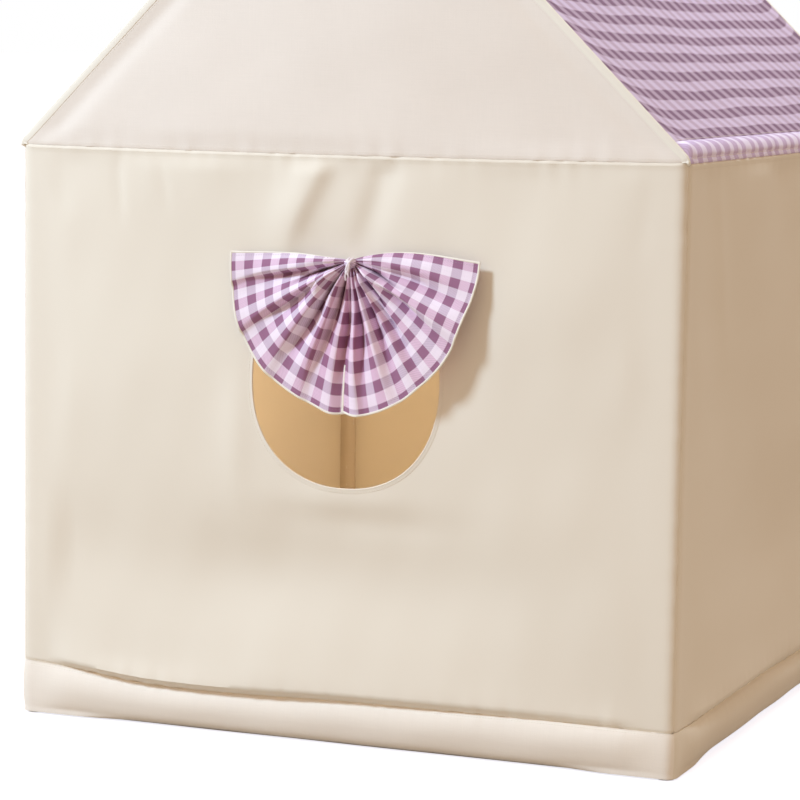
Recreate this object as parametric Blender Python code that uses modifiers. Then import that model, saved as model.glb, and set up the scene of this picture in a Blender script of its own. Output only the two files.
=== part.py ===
"""Kids play tent: a house-shaped cotton cover stretched over a frame of plug-in poles.

The gable with the round window faces -Y and the gable with the doorway faces +Y.  X runs across
the tent, Y along the ridge, and the floor is at z = 0.  Lengths are in metres.
"""

import math

import bmesh
import bpy
from mathutils import Matrix, Vector

# Overall sizes, measured over the cloth.
TENT_WIDTH = 1.000
TENT_LENGTH = 1.200
RIDGE_HEIGHT = 1.328
EAVE_HEIGHT = 0.832
HEM_HEIGHT = 0.066

# Cloth and clearances.
CLOTH = 0.0016
SEAM_GAP = 0.0003
CLOTH_EASE = 0.0004
FLOOR_EASE = 0.0005
CORNER_WRAP = 0.022
CORNER_STEPS = 5
SLEEVE_STEPS = 9

# Poles.
POLE_RADIUS = 0.011
POLE_WALL = 0.0012
POLE_SIDES = 12
SWAGE_LENGTH = 0.045
SWAGE_TAPER = 0.004

# Moulded pole connectors.
SOCKET_WALL = 0.0022
SOCKET_DEPTH = 0.030
SOCKET_START = 0.038
COLLAR_LENGTH = 0.007
COLLAR_RAISE = 0.0007
HUB_SEGMENTS = 16
HUB_RINGS = 8
FOOT_RADIUS = 0.0125

# Round window and its bound edge.
WINDOW_X = 0.011
WINDOW_HEIGHT = 0.515
WINDOW_HALF_WIDTH = 0.142
WINDOW_HALF_HEIGHT = 0.150
WINDOW_SQUARENESS = 2.2
WINDOW_POINTS = 36

# Doorway and its bound edge.
DOOR_HALF_WIDTH = 0.250
DOOR_SPRING_HEIGHT = 0.500
DOOR_ARCH_STEPS = 16

# Folded tape that binds the cut edges, the roof piping and the eave edge.
TAPE_CLOTH = 0.0008
TAPE_LAP = 0.005
PIPING_RADIUS = 0.0017
EAVE_TAPE_TURN = math.radians(25)
EAVE_STEPS = 4
RIDGE_STEPS = 4

# Window curtain: a cloth gathered on its centre line, which fans into two pleated lobes.
CURTAIN_SIDEWAYS = 0.009
CURTAIN_RISE = 0.173
CURTAIN_CLOTH = 0.0020
LOBE_TOP_RADIUS = 0.191
LOBE_SLIT_RADIUS = 0.214
LOBE_START = 0.004
LOBE_LIFT = math.radians(2)
LOBE_TURN = math.radians(92.5)
LOBE_PLEATS = 5
LOBE_COLUMNS = 4 * LOBE_PLEATS
LOBE_ROWS = 7
PLEAT_DEPTH = 0.008
PLEAT_KNOT_SHARE = 0.2
PLEAT_PEAK_SHARE = 0.4
PLEAT_RIM_SHARE = 0.55
RIM_STAND = 0.030
TOP_STAND_SHARE = 0.35
STAND_TURN_SHARE = 0.5
KNOT_CORE_RADIUS = 0.0055
KNOT_CORE_HALF = 0.011
TIE_THICKNESS = 0.0019
TIE_SIDES = 8
TIE_STEPS = 16

# Door curtains, gathered to the sides of the doorway by a tie-back with a press stud.
DOOR_CURTAIN_TOP = 0.796
DOOR_CURTAIN_FOOT = 0.090
DOOR_CURTAIN_INNER = 0.006
DOOR_CURTAIN_OUTER = 0.288
DOOR_CURTAIN_CLOTH = 0.0020
DOOR_CURTAIN_FOLDS = 5
ROWS_ABOVE_TIE = 8
ROWS_BELOW_TIE = 4
SEAT_SHARE = 0.125
TIEBACK_HEIGHT = 0.420
TIEBACK_X = 0.268
TIEBACK_BAND = 0.026
TIEBACK_CLOTH = 0.0016
TIEBACK_STEPS = 24
BUNCH_EASE = 0.0013
BUNCH_HALF_WIDTH = 0.024
BUNCH_HALF_DEPTH = 0.013
SKIRT_HALF_WIDTH = 0.046
SKIRT_HALF_DEPTH = 0.011
TAB_LENGTH = 0.036
STUD_RADIUS = 0.007
STUD_HEIGHT = 0.0024
STUD_SIDES = 16

# Sizes that follow from the ones above.
BORE_RADIUS = (POLE_RADIUS + SEAM_GAP) / math.cos(math.pi / POLE_SIDES)
ARM_RADIUS = BORE_RADIUS + SOCKET_WALL
COLLAR_RADIUS = ARM_RADIUS + COLLAR_RAISE
FRAME_INSET = COLLAR_RADIUS + CLOTH_EASE + CLOTH
BASE_HEIGHT = FRAME_INSET + FLOOR_EASE
POST_X = TENT_WIDTH / 2 - FRAME_INSET
POST_Y = TENT_LENGTH / 2 - FRAME_INSET
RIDGE_POLE_HEIGHT = RIDGE_HEIGHT - FRAME_INSET
ROOF_ANGLE = math.atan2(RIDGE_POLE_HEIGHT - EAVE_HEIGHT, POST_X)
TAPE_HALF = CLOTH / 2 + SEAM_GAP + TAPE_CLOTH
PIPING_WIDTH = 2 * PIPING_RADIUS + SEAM_GAP
CURTAIN_X = WINDOW_X + CURTAIN_SIDEWAYS
CURTAIN_HEIGHT = WINDOW_HEIGHT + CURTAIN_RISE
TIE_REACH = KNOT_CORE_RADIUS + SEAM_GAP + 2 * TIE_THICKNESS + SEAM_GAP
KNOT_STAND = TIE_REACH + CURTAIN_CLOTH / 2
LOBE_OFFSET = TIE_THICKNESS + SEAM_GAP
TAPE_PROUD = TAPE_HALF - CLOTH / 2
WELD_DISTANCE = SEAM_GAP / 15
BUNCH_SEAT = TAPE_PROUD + SEAM_GAP + TIEBACK_CLOTH + BUNCH_EASE + BUNCH_HALF_DEPTH

CREAM = (0.86, 0.79, 0.69, 1.0)
CREAM_TAPE = (0.90, 0.85, 0.77, 1.0)
LILAC = (0.56, 0.38, 0.53, 1.0)
POLE_WHITE = (0.86, 0.86, 0.84, 1.0)
CONNECTOR_WHITE = (0.78, 0.77, 0.74, 1.0)


def ease(share):
    """A share from 0 to 1 that starts and ends level."""
    return share * share * (3 - 2 * share)


def lobe_point(side, u, v):
    """A point of a curtain lobe, from the middle of its sewn edge.

    u turns from the top edge to the slit and v runs from the knot to the rim.
    """
    turn = LOBE_TURN * u - LOBE_LIFT
    edge = LOBE_TOP_RADIUS + (LOBE_SLIT_RADIUS - LOBE_TOP_RADIUS) * ease(u)
    radius = LOBE_START + (edge - LOBE_START) * v
    if v < PLEAT_PEAK_SHARE:
        depth = PLEAT_KNOT_SHARE + (1 - PLEAT_KNOT_SHARE) * ease(v / PLEAT_PEAK_SHARE)
    else:
        depth = 1 - (1 - PLEAT_RIM_SHARE) * ease((v - PLEAT_PEAK_SHARE) / (1 - PLEAT_PEAK_SHARE))
    out = TOP_STAND_SHARE + (1 - TOP_STAND_SHARE) * ease(min(1.0, u / STAND_TURN_SHARE))
    stand = KNOT_STAND + (RIM_STAND - KNOT_STAND) * ease(v) * out
    stand += PLEAT_DEPTH * depth * math.cos(2 * math.pi * LOBE_PLEATS * u)
    x = side * (LOBE_OFFSET + radius * math.cos(turn))
    return Vector((x, -stand, -TIE_REACH - radius * math.sin(turn)))


def curtain_proud():
    """How far the window curtain stands out of its wall."""
    spots = [(c / LOBE_COLUMNS, r / LOBE_ROWS) for c in range(LOBE_COLUMNS + 1) for r in range(LOBE_ROWS + 1)]
    return -min(lobe_point(1, u, v).y for u, v in spots)


UP = Vector((0.0, 0.0, 1.0))
ALONG_X = Vector((1.0, 0.0, 0.0))
ALONG_Y = Vector((0.0, 1.0, 0.0))
RAFTER_UP = Vector((math.cos(ROOF_ANGLE), 0.0, math.sin(ROOF_ANGLE)))


def clear_scene():
    for old in list(bpy.data.objects):
        bpy.data.objects.remove(old, do_unlink=True)


def new_collection(name, hidden=False):
    collection = bpy.data.collections.new(name)
    bpy.context.scene.collection.children.link(collection)
    collection.hide_render = hidden
    return collection


clear_scene()
PARTS = new_collection("kids_play_tent")
CUTTERS = new_collection("cutters", hidden=True)


def make_centre():
    """The tent's own centre, placed so that the box is centred: the window curtain and the door tape stand proud."""
    centre = bpy.data.objects.new("tent_centre", None)
    centre.location = (0.0, (curtain_proud() - TAPE_PROUD) / 2, 0.0)
    PARTS.objects.link(centre)
    return centre


TENT = make_centre()


def surface(name, colour, roughness):
    material = bpy.data.materials.new(name)
    material.use_nodes = True
    shader = material.node_tree.nodes["Principled BSDF"]
    shader.inputs["Base Color"].default_value = colour
    shader.inputs["Roughness"].default_value = roughness
    shader.inputs["Metallic"].default_value = 0.0
    material.diffuse_color = colour
    return material


def add_part(name, data, colour, roughness, location=(0.0, 0.0, 0.0), rotation=None, turn=0.0):
    """A finished node under the tent's centre, turned about the ridge's vertical by turn."""
    part = bpy.data.objects.new(name, data)
    local = Matrix.Translation(Vector(location))
    if rotation is not None:
        local = local @ rotation.to_matrix().to_4x4()
    part.matrix_local = Matrix.Rotation(turn, 4, "Z") @ local
    part.parent = TENT
    part.data.materials.clear()
    PARTS.objects.link(part)
    part.data.materials.append(None)
    part.material_slots[0].link = "OBJECT"
    part.material_slots[0].material = surface(name, colour, roughness)
    return part


def to_mesh(bm, name):
    mesh = bpy.data.meshes.new(name)
    bm.to_mesh(mesh)
    bm.free()
    return mesh


def add_helper(name, mesh):
    helper = bpy.data.objects.new(name, mesh)
    helper.hide_render = True
    helper.display_type = "WIRE"
    CUTTERS.objects.link(helper)
    return helper


def smooth(mesh, angle=math.radians(40)):
    mesh.shade_smooth()
    mesh.set_sharp_from_angle(angle=angle)


def add_group_step(body, operation, tools):
    """A Boolean that takes all its tools at once, because one after another they round each other's edges."""
    group = bpy.data.collections.new(operation)
    CUTTERS.children.link(group)
    for tool in tools:
        CUTTERS.objects.unlink(tool)
        group.objects.link(tool)
    step = body.modifiers.new(operation, "BOOLEAN")
    step.operation = operation
    step.operand_type = "COLLECTION"
    step.collection = group
    return group


def fused_mesh(name, body, added, removed):
    """The mesh of body with the added solids joined to it and the removed ones cut out of it."""
    groups = [add_group_step(body, "UNION", added)]
    if removed:
        groups.append(add_group_step(body, "DIFFERENCE", removed))
    clean = body.modifiers.new("clean", "WELD")
    clean.merge_threshold = WELD_DISTANCE
    bpy.context.view_layer.update()
    graph = bpy.context.evaluated_depsgraph_get()
    mesh = bpy.data.meshes.new_from_object(body.evaluated_get(graph))
    mesh.name = name
    for used in (body, *added, *removed):
        bpy.data.objects.remove(used, do_unlink=True)
    for group in groups:
        bpy.data.collections.remove(group)
    smooth(mesh)
    return mesh


def add_cut(part, cutter):
    cut = part.modifiers.new("opening", "BOOLEAN")
    cut.operation = "DIFFERENCE"
    cut.object = cutter


def cylinder(name, radius, start, end, direction, sides=POLE_SIDES):
    """A solid cylinder on a line from the origin, between two distances along direction."""
    bm = bmesh.new()
    turn = direction.to_track_quat("Z", "Y").to_matrix().to_4x4()
    place = turn @ Matrix.Translation((0.0, 0.0, (start + end) / 2))
    bmesh.ops.create_cone(
        bm, cap_ends=True, segments=sides, radius1=radius, radius2=radius, depth=end - start, matrix=place
    )
    return add_helper(name, to_mesh(bm, name))


def profile_mesh(name, points, cyclic):
    """A line of edges through (radius, height) points, for a Screw modifier."""
    bm = bmesh.new()
    verts = [bm.verts.new((radius, 0.0, height)) for radius, height in points]
    for first, second in zip(verts, verts[1:]):
        bm.edges.new((first, second))
    if cyclic:
        bm.edges.new((verts[-1], verts[0]))
    return to_mesh(bm, name)


def add_screw(part, sides):
    screw = part.modifiers.new("turn", "SCREW")
    screw.steps = sides
    screw.render_steps = sides
    screw.use_merge_vertices = True
    screw.merge_threshold = WELD_DISTANCE
    screw.use_smooth_shade = True


# Poles


def tube_mesh(name, length):
    inner = POLE_RADIUS - POLE_WALL
    points = ((POLE_RADIUS, length), (POLE_RADIUS, 0.0), (inner, 0.0), (inner, length))
    return profile_mesh(name, points, cyclic=True)


def swaged_tube_mesh(name, length):
    """A tube with one end drawn down, so that it plugs into the next section."""
    inner = POLE_RADIUS - POLE_WALL
    plug = inner * math.cos(math.pi / POLE_SIDES) - SEAM_GAP
    points = (
        (plug, length + SWAGE_LENGTH),
        (plug, length),
        (POLE_RADIUS, length),
        (POLE_RADIUS, 0.0),
        (inner, 0.0),
        (inner, length - SWAGE_TAPER),
        (plug - POLE_WALL, length),
        (plug - POLE_WALL, length + SWAGE_LENGTH),
    )
    return profile_mesh(name, points, cyclic=True)


def add_pole(name, mesh, start, direction, turn=0.0):
    aim = direction.to_track_quat("Z", "Y")
    part = add_part(name, mesh, POLE_WHITE, 0.35, location=start, rotation=aim, turn=turn)
    add_screw(part, POLE_SIDES)


def seat(centre, direction):
    """Where a pole that leaves a connector at centre starts."""
    return centre + direction * SOCKET_START


def make_poles():
    post = tube_mesh("post_profile", EAVE_HEIGHT - BASE_HEIGHT - 2 * SOCKET_START)
    cross = tube_mesh("cross_rail_profile", 2 * POST_X - 2 * SOCKET_START)
    rafter_length = math.hypot(POST_X, RIDGE_POLE_HEIGHT - EAVE_HEIGHT) - 2 * SOCKET_START
    rafter = tube_mesh("rafter_profile", rafter_length)
    section = (2 * POST_Y - 2 * SOCKET_START - SEAM_GAP) / 2
    plug_section = swaged_tube_mesh("plug_section_profile", section)
    plain_section = tube_mesh("plain_section_profile", section)
    for turn, end, here, there in ((0.0, "window", "left", "right"), (math.pi, "door", "right", "left")):
        base = Vector((-POST_X, -POST_Y, BASE_HEIGHT))
        eave = Vector((-POST_X, -POST_Y, EAVE_HEIGHT))
        far_eave = Vector((POST_X, -POST_Y, EAVE_HEIGHT))
        add_pole(f"post_{end}_{here}", post, seat(base, UP), UP, turn)
        add_pole(f"post_{end}_{there}", post, seat(base, UP) + ALONG_X * 2 * POST_X, UP, turn)
        add_pole(f"base_rail_{end}", cross, seat(base, ALONG_X), ALONG_X, turn)
        add_pole(f"gable_rail_{end}", cross, seat(eave, ALONG_X), ALONG_X, turn)
        add_pole(f"rafter_{end}_{here}", rafter, seat(eave, RAFTER_UP), RAFTER_UP, turn)
        across = Vector((-RAFTER_UP.x, 0.0, RAFTER_UP.z))
        add_pole(f"rafter_{end}_{there}", rafter, seat(far_eave, across), across, turn)
        for level, corner in (("base", base), ("eave", eave)):
            start = seat(corner, ALONG_Y)
            add_pole(f"{level}_rail_{here}_plug", plug_section, start, ALONG_Y, turn)
            middle = start + ALONG_Y * (section + SEAM_GAP)
            add_pole(f"{level}_rail_{here}_end", plain_section, middle, ALONG_Y, turn)
    ridge = seat(Vector((0.0, -POST_Y, RIDGE_POLE_HEIGHT)), ALONG_Y)
    add_pole("ridge_pole_plug", plug_section, ridge, ALONG_Y)
    add_pole("ridge_pole_end", plain_section, ridge + ALONG_Y * (section + SEAM_GAP), ALONG_Y)


# Connectors


def connector_mesh(name, directions, foot=False):
    """A moulded hub with one socket for each pole direction, centred on the origin."""
    bm = bmesh.new()
    bmesh.ops.create_uvsphere(bm, u_segments=HUB_SEGMENTS, v_segments=HUB_RINGS, radius=COLLAR_RADIUS)
    hub = add_helper(name, to_mesh(bm, name))
    mouth = SOCKET_START + SOCKET_DEPTH
    added = []
    removed = []
    for number, direction in enumerate(directions):
        added.append(cylinder(f"arm_{number}", ARM_RADIUS, 0.0, mouth - COLLAR_LENGTH / 2, direction))
        added.append(cylinder(f"collar_{number}", COLLAR_RADIUS, mouth - COLLAR_LENGTH, mouth, direction))
        bottom = SOCKET_START - SEAM_GAP
        removed.append(cylinder(f"bore_{number}", BORE_RADIUS, bottom, mouth + SOCKET_WALL, direction))
    if foot:
        added.append(cylinder("foot", FOOT_RADIUS, 0.0, BASE_HEIGHT, -UP))
    return fused_mesh(name, hub, added, removed)


def add_connector(name, mesh, centre, turn):
    add_part(name, mesh, CONNECTOR_WHITE, 0.45, location=centre, turn=turn)


def make_connectors():
    across = Vector((-RAFTER_UP.x, 0.0, RAFTER_UP.z))
    down_left = Vector((-RAFTER_UP.x, 0.0, -RAFTER_UP.z))
    down_right = Vector((RAFTER_UP.x, 0.0, -RAFTER_UP.z))
    base = connector_mesh("base_connector_mesh", (ALONG_X, ALONG_Y, UP), foot=True)
    base_other = connector_mesh("base_connector_other_mesh", (-ALONG_X, ALONG_Y, UP), foot=True)
    eave = connector_mesh("eave_connector_mesh", (ALONG_X, ALONG_Y, -UP, RAFTER_UP))
    eave_other = connector_mesh("eave_connector_other_mesh", (-ALONG_X, ALONG_Y, -UP, across))
    ridge = connector_mesh("ridge_connector_mesh", (down_left, down_right, ALONG_Y))
    for turn, end, here, there in ((0.0, "window", "left", "right"), (math.pi, "door", "right", "left")):
        add_connector(f"base_connector_{end}_{here}", base, (-POST_X, -POST_Y, BASE_HEIGHT), turn)
        add_connector(f"base_connector_{end}_{there}", base_other, (POST_X, -POST_Y, BASE_HEIGHT), turn)
        add_connector(f"eave_connector_{end}_{here}", eave, (-POST_X, -POST_Y, EAVE_HEIGHT), turn)
        add_connector(f"eave_connector_{end}_{there}", eave_other, (POST_X, -POST_Y, EAVE_HEIGHT), turn)
        add_connector(f"ridge_connector_{end}", ridge, (0.0, -POST_Y, RIDGE_POLE_HEIGHT), turn)


# Cloth walls and hems


def end_wall_plan():
    """The plan of an end wall, which turns both corners and stops on the side faces."""
    half, front = TENT_WIDTH / 2, -TENT_LENGTH / 2
    right = []
    for step in range(CORNER_STEPS + 1):
        angle = math.pi / 2 * step / CORNER_STEPS
        right.append((POST_X + FRAME_INSET * math.sin(angle), -POST_Y - FRAME_INSET * math.cos(angle)))
    right.append((half, front + CORNER_WRAP))
    return [(-x, y) for x, y in reversed(right)] + right


def side_wall_plan():
    """The plan of the right side wall, between the seams of the two end walls."""
    reach = TENT_LENGTH / 2 - CORNER_WRAP - SEAM_GAP
    return [(TENT_WIDTH / 2, -reach), (TENT_WIDTH / 2, reach)]


def strip(bm, plan, low, high):
    """An upright band on a plan, facing out, and its lower edges."""
    feet = [bm.verts.new((x, y, low)) for x, y in plan]
    heads = [bm.verts.new((x, y, high)) for x, y in plan]
    for index in range(len(plan) - 1):
        bm.faces.new((feet[index], feet[index + 1], heads[index + 1], heads[index]))
    return feet


def add_thickness(part):
    thick = part.modifiers.new("cloth", "SOLIDIFY")
    thick.thickness = CLOTH
    thick.offset = -1.0
    thick.use_even_offset = True


def add_wall(name, plan, turn=0.0):
    bm = bmesh.new()
    strip(bm, plan, HEM_HEIGHT + SEAM_GAP, EAVE_HEIGHT - SEAM_GAP)
    part = add_part(name, to_mesh(bm, name), CREAM, 0.85, turn=turn)
    add_thickness(part)
    return part


def sleeve_profile():
    """(inward, height) points of the pole sleeve: under the base rail and back up to the seam."""
    top_inward = CLOTH + SEAM_GAP + CLOTH
    top_height = HEM_HEIGHT - FRAME_INSET / 2
    rise, run = top_height - BASE_HEIGHT, top_inward - FRAME_INSET
    leave = math.atan2(rise, run) - math.acos(FRAME_INSET / math.hypot(rise, run))
    points = []
    for step in range(SLEEVE_STEPS + 1):
        angle = -math.pi / 2 + (leave + math.pi / 2) * step / SLEEVE_STEPS
        points.append((FRAME_INSET * (1 + math.cos(angle)), BASE_HEIGHT + FRAME_INSET * math.sin(angle)))
    return points + [(top_inward, top_height)]


def add_hem(name, plan, run, outward, turn=0.0):
    """The bottom band of a wall, folded under the base rail into a sleeve between the connectors.

    run is the direction along the wall and outward the one away from the tent.
    """
    bm = bmesh.new()
    sleeve_end = 2 * FRAME_INSET + CLOTH
    reach = (TENT_WIDTH if run == ALONG_X else TENT_LENGTH) / 2 - sleeve_end
    face = (TENT_LENGTH if run == ALONG_X else TENT_WIDTH) / 2
    middle = len(plan) // 2
    ends = [run * -reach + outward * face, run * reach + outward * face]
    full = plan[:middle] + [(point.x, point.y) for point in ends] + plan[middle:]
    feet = strip(bm, full, FLOOR_EASE, HEM_HEIGHT)
    left, right = feet[middle], feet[middle + 1]
    for inward, height in sleeve_profile():
        place = outward * (face - inward) + UP * height
        next_left = bm.verts.new(run * -reach + place)
        next_right = bm.verts.new(run * reach + place)
        bm.faces.new((right, left, next_left, next_right))
        left, right = next_left, next_right
    part = add_part(name, to_mesh(bm, name), CREAM, 0.85, turn=turn)
    add_thickness(part)


def window_outline(count):
    """(x, height) points round the window."""
    points = []
    for step in range(count):
        angle = 2 * math.pi * step / count
        across, rise = math.cos(angle), math.sin(angle)
        power = 2 / WINDOW_SQUARENESS
        x = WINDOW_X + math.copysign(WINDOW_HALF_WIDTH * abs(across) ** power, across)
        points.append((x, WINDOW_HEIGHT + math.copysign(WINDOW_HALF_HEIGHT * abs(rise) ** power, rise)))
    return points


def door_outline(foot):
    """(x, height) points up one side of the doorway, round its arch and down to foot."""
    points = [(DOOR_HALF_WIDTH, foot)]
    for step in range(DOOR_ARCH_STEPS + 1):
        angle = math.pi * step / DOOR_ARCH_STEPS
        x = DOOR_HALF_WIDTH * math.cos(angle)
        points.append((x, DOOR_SPRING_HEIGHT + DOOR_HALF_WIDTH * math.sin(angle)))
    return points + [(-DOOR_HALF_WIDTH, foot)]


def opening_cutter(name, outline):
    """A prism through the -Y wall."""
    bm = bmesh.new()
    near = -TENT_LENGTH / 2 - FRAME_INSET
    face = bm.faces.new([bm.verts.new((x, near, height)) for x, height in outline])
    pushed = bmesh.ops.extrude_face_region(bm, geom=[face])
    moved = [item for item in pushed["geom"] if isinstance(item, bmesh.types.BMVert)]
    bmesh.ops.translate(bm, verts=moved, vec=ALONG_Y * 2 * FRAME_INSET)
    bmesh.ops.recalc_face_normals(bm, faces=bm.faces[:])
    return add_helper(name, to_mesh(bm, name))


def make_walls():
    window_wall = add_wall("window_wall", end_wall_plan())
    window_cutter = opening_cutter("window_cutter", window_outline(WINDOW_POINTS))
    window_cutter.parent = TENT
    add_cut(window_wall, window_cutter)
    door_wall = add_wall("door_wall", end_wall_plan(), turn=math.pi)
    door_cutter = opening_cutter("door_cutter", door_outline(FLOOR_EASE))
    door_cutter.parent = TENT
    door_cutter.matrix_local = Matrix.Rotation(math.pi, 4, "Z")
    add_cut(door_wall, door_cutter)
    add_wall("right_wall", side_wall_plan())
    add_wall("left_wall", side_wall_plan(), turn=math.pi)


def make_hems():
    add_hem("window_hem", end_wall_plan(), ALONG_X, -ALONG_Y)
    add_hem("door_hem", end_wall_plan(), ALONG_X, -ALONG_Y, turn=math.pi)
    add_hem("right_hem", side_wall_plan(), ALONG_Y, ALONG_X)
    add_hem("left_hem", side_wall_plan(), ALONG_Y, ALONG_X, turn=math.pi)


# Roof and gables


def arc(centre_x, centre_height, radius, start, end, steps):
    points = []
    for step in range(steps + 1):
        angle = start + (end - start) * step / steps
        points.append((centre_x + radius * math.cos(angle), centre_height + radius * math.sin(angle)))
    return points


def roof_line(depth, start_angle):
    """The right half of the roof's section at a depth under its top face, from the eave to the ridge."""
    square = math.pi / 2 - ROOF_ANGLE
    radius = FRAME_INSET - depth
    eave = arc(POST_X, EAVE_HEIGHT, radius, start_angle, square, EAVE_STEPS)
    last = math.pi / 2 - SEAM_GAP / FRAME_INSET
    ridge = arc(0.0, RIDGE_POLE_HEIGHT, radius, square, last, RIDGE_STEPS)
    return eave + ridge


def whole_roof_line(depth):
    right = roof_line(depth, SEAM_GAP / FRAME_INSET)
    return right + [(-x, height) for x, height in reversed(right)]


def add_roof_strip(name, line, colour, roughness, turn):
    """A cloth with the section line, run along the tent between the two gables."""
    bm = bmesh.new()
    reach = TENT_LENGTH / 2 - PIPING_WIDTH
    near = [bm.verts.new((x, -reach, height)) for x, height in line]
    far = [bm.verts.new((x, reach, height)) for x, height in line]
    for index in range(len(line) - 1):
        bm.faces.new((near[index], far[index], far[index + 1], near[index + 1]))
    part = add_part(name, to_mesh(bm, name), colour, roughness, turn=turn)
    add_thickness(part)


def flat_curve(name, points, cyclic):
    """A 2D curve; its plane is stood upright by the object's rotation."""
    curve = bpy.data.curves.new(name, "CURVE")
    curve.dimensions = "2D"
    line = curve.splines.new("POLY")
    line.points.add(len(points) - 1)
    for point, (x, height) in zip(line.points, points):
        point.co = (x, height, 0.0, 1.0)
    line.use_cyclic_u = cyclic
    return curve


def upright():
    return Matrix.Rotation(math.pi / 2, 3, "X").to_quaternion()


def make_roof():
    tape_end = EAVE_TAPE_TURN
    for turn, side in ((0.0, "right"), (math.pi, "left")):
        line = roof_line(0.0, tape_end + SEAM_GAP / FRAME_INSET)
        add_roof_strip(f"roof_{side}", line, LILAC, 0.85, turn)
        tape = arc(POST_X, EAVE_HEIGHT, FRAME_INSET, 0.0, tape_end, EAVE_STEPS)
        add_roof_strip(f"eave_binding_{side}", tape, LILAC, 0.80, turn)
    outline = whole_roof_line(PIPING_WIDTH)
    gable = flat_curve("gable_outline", outline, cyclic=True)
    gable.fill_mode = "BOTH"
    gable.extrude = CLOTH / 2
    piping = flat_curve("piping_path", whole_roof_line(PIPING_RADIUS), cyclic=False)
    piping.dimensions = "3D"
    piping.bevel_depth = PIPING_RADIUS
    piping.bevel_resolution = 2
    piping.use_fill_caps = True
    for turn, end in ((0.0, "window"), (math.pi, "door")):
        place = (0.0, -TENT_LENGTH / 2 + CLOTH / 2, 0.0)
        add_part(f"{end}_gable", gable.copy(), CREAM, 0.85, location=place, rotation=upright(), turn=turn)
        place = (0.0, -TENT_LENGTH / 2 + PIPING_RADIUS, 0.0)
        name = f"{end}_gable_piping"
        add_part(name, piping.copy(), CREAM_TAPE, 0.7, location=place, rotation=upright(), turn=turn)


# Bound edges of the window and the doorway


def tape_profile():
    """The folded tape's section: x runs from the cut edge into the opening, y through the cloth."""
    inner = CLOTH / 2 + SEAM_GAP
    nose = SEAM_GAP + TAPE_CLOTH
    round_nose = TAPE_CLOTH / 2
    points = (
        (-TAPE_LAP, inner),
        (SEAM_GAP, inner),
        (SEAM_GAP, -inner),
        (-TAPE_LAP, -inner),
        (-TAPE_LAP, -TAPE_HALF),
        (nose - round_nose, -TAPE_HALF),
        (nose, round_nose - TAPE_HALF),
        (nose, TAPE_HALF - round_nose),
        (nose - round_nose, TAPE_HALF),
        (-TAPE_LAP, TAPE_HALF),
    )
    section = bpy.data.objects.new("tape_section", flat_curve("tape_section", points, cyclic=True))
    section.hide_render = True
    section.display_type = "WIRE"
    CUTTERS.objects.link(section)
    return section


def mesh_of_curve(name, curve):
    """The curve's surface as one closed mesh, with its caps welded on."""
    lofted = bpy.data.objects.new(name, curve)
    CUTTERS.objects.link(lofted)
    bpy.context.view_layer.update()
    graph = bpy.context.evaluated_depsgraph_get()
    mesh = bpy.data.meshes.new_from_object(lofted.evaluated_get(graph))
    bpy.data.objects.remove(lofted, do_unlink=True)
    bm = bmesh.new()
    bm.from_mesh(mesh)
    bmesh.ops.remove_doubles(bm, verts=bm.verts[:], dist=WELD_DISTANCE)
    bmesh.ops.recalc_face_normals(bm, faces=bm.faces[:])
    bm.to_mesh(mesh)
    bm.free()
    smooth(mesh)
    return mesh


def add_tape(name, section, outline, cyclic, turn):
    path = flat_curve(name, outline, cyclic)
    path.bevel_mode = "OBJECT"
    path.bevel_object = section
    path.use_fill_caps = not cyclic
    mesh = mesh_of_curve(name, path)
    place = (0.0, -TENT_LENGTH / 2 + CLOTH / 2, 0.0)
    add_part(name, mesh, CREAM_TAPE, 0.75, location=place, rotation=upright(), turn=turn)


def make_bindings():
    section = tape_profile()
    add_tape("window_binding", section, window_outline(WINDOW_POINTS), True, 0.0)
    doorway = door_outline(HEM_HEIGHT + SEAM_GAP)
    add_tape("door_binding", section, doorway[::-1], False, math.pi)


# Hanging cloth


def draped_mesh(name, columns, rows, place, thickness):
    """A grid laid out by place(u, v) and given a thickness, so that it is one closed cloth."""
    bm = bmesh.new()
    bmesh.ops.create_grid(bm, x_segments=columns, y_segments=rows, size=1.0)
    for vert in bm.verts:
        vert.co = place((vert.co.x + 1) / 2, (vert.co.y + 1) / 2)
    pushed = bmesh.ops.extrude_face_region(bm, geom=bm.faces[:])
    moved = [item for item in pushed["geom"] if isinstance(item, bmesh.types.BMVert)]
    bmesh.ops.translate(bm, verts=moved, vec=thickness)
    bmesh.ops.recalc_face_normals(bm, faces=bm.faces[:])
    return to_mesh(bm, name)


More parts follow.
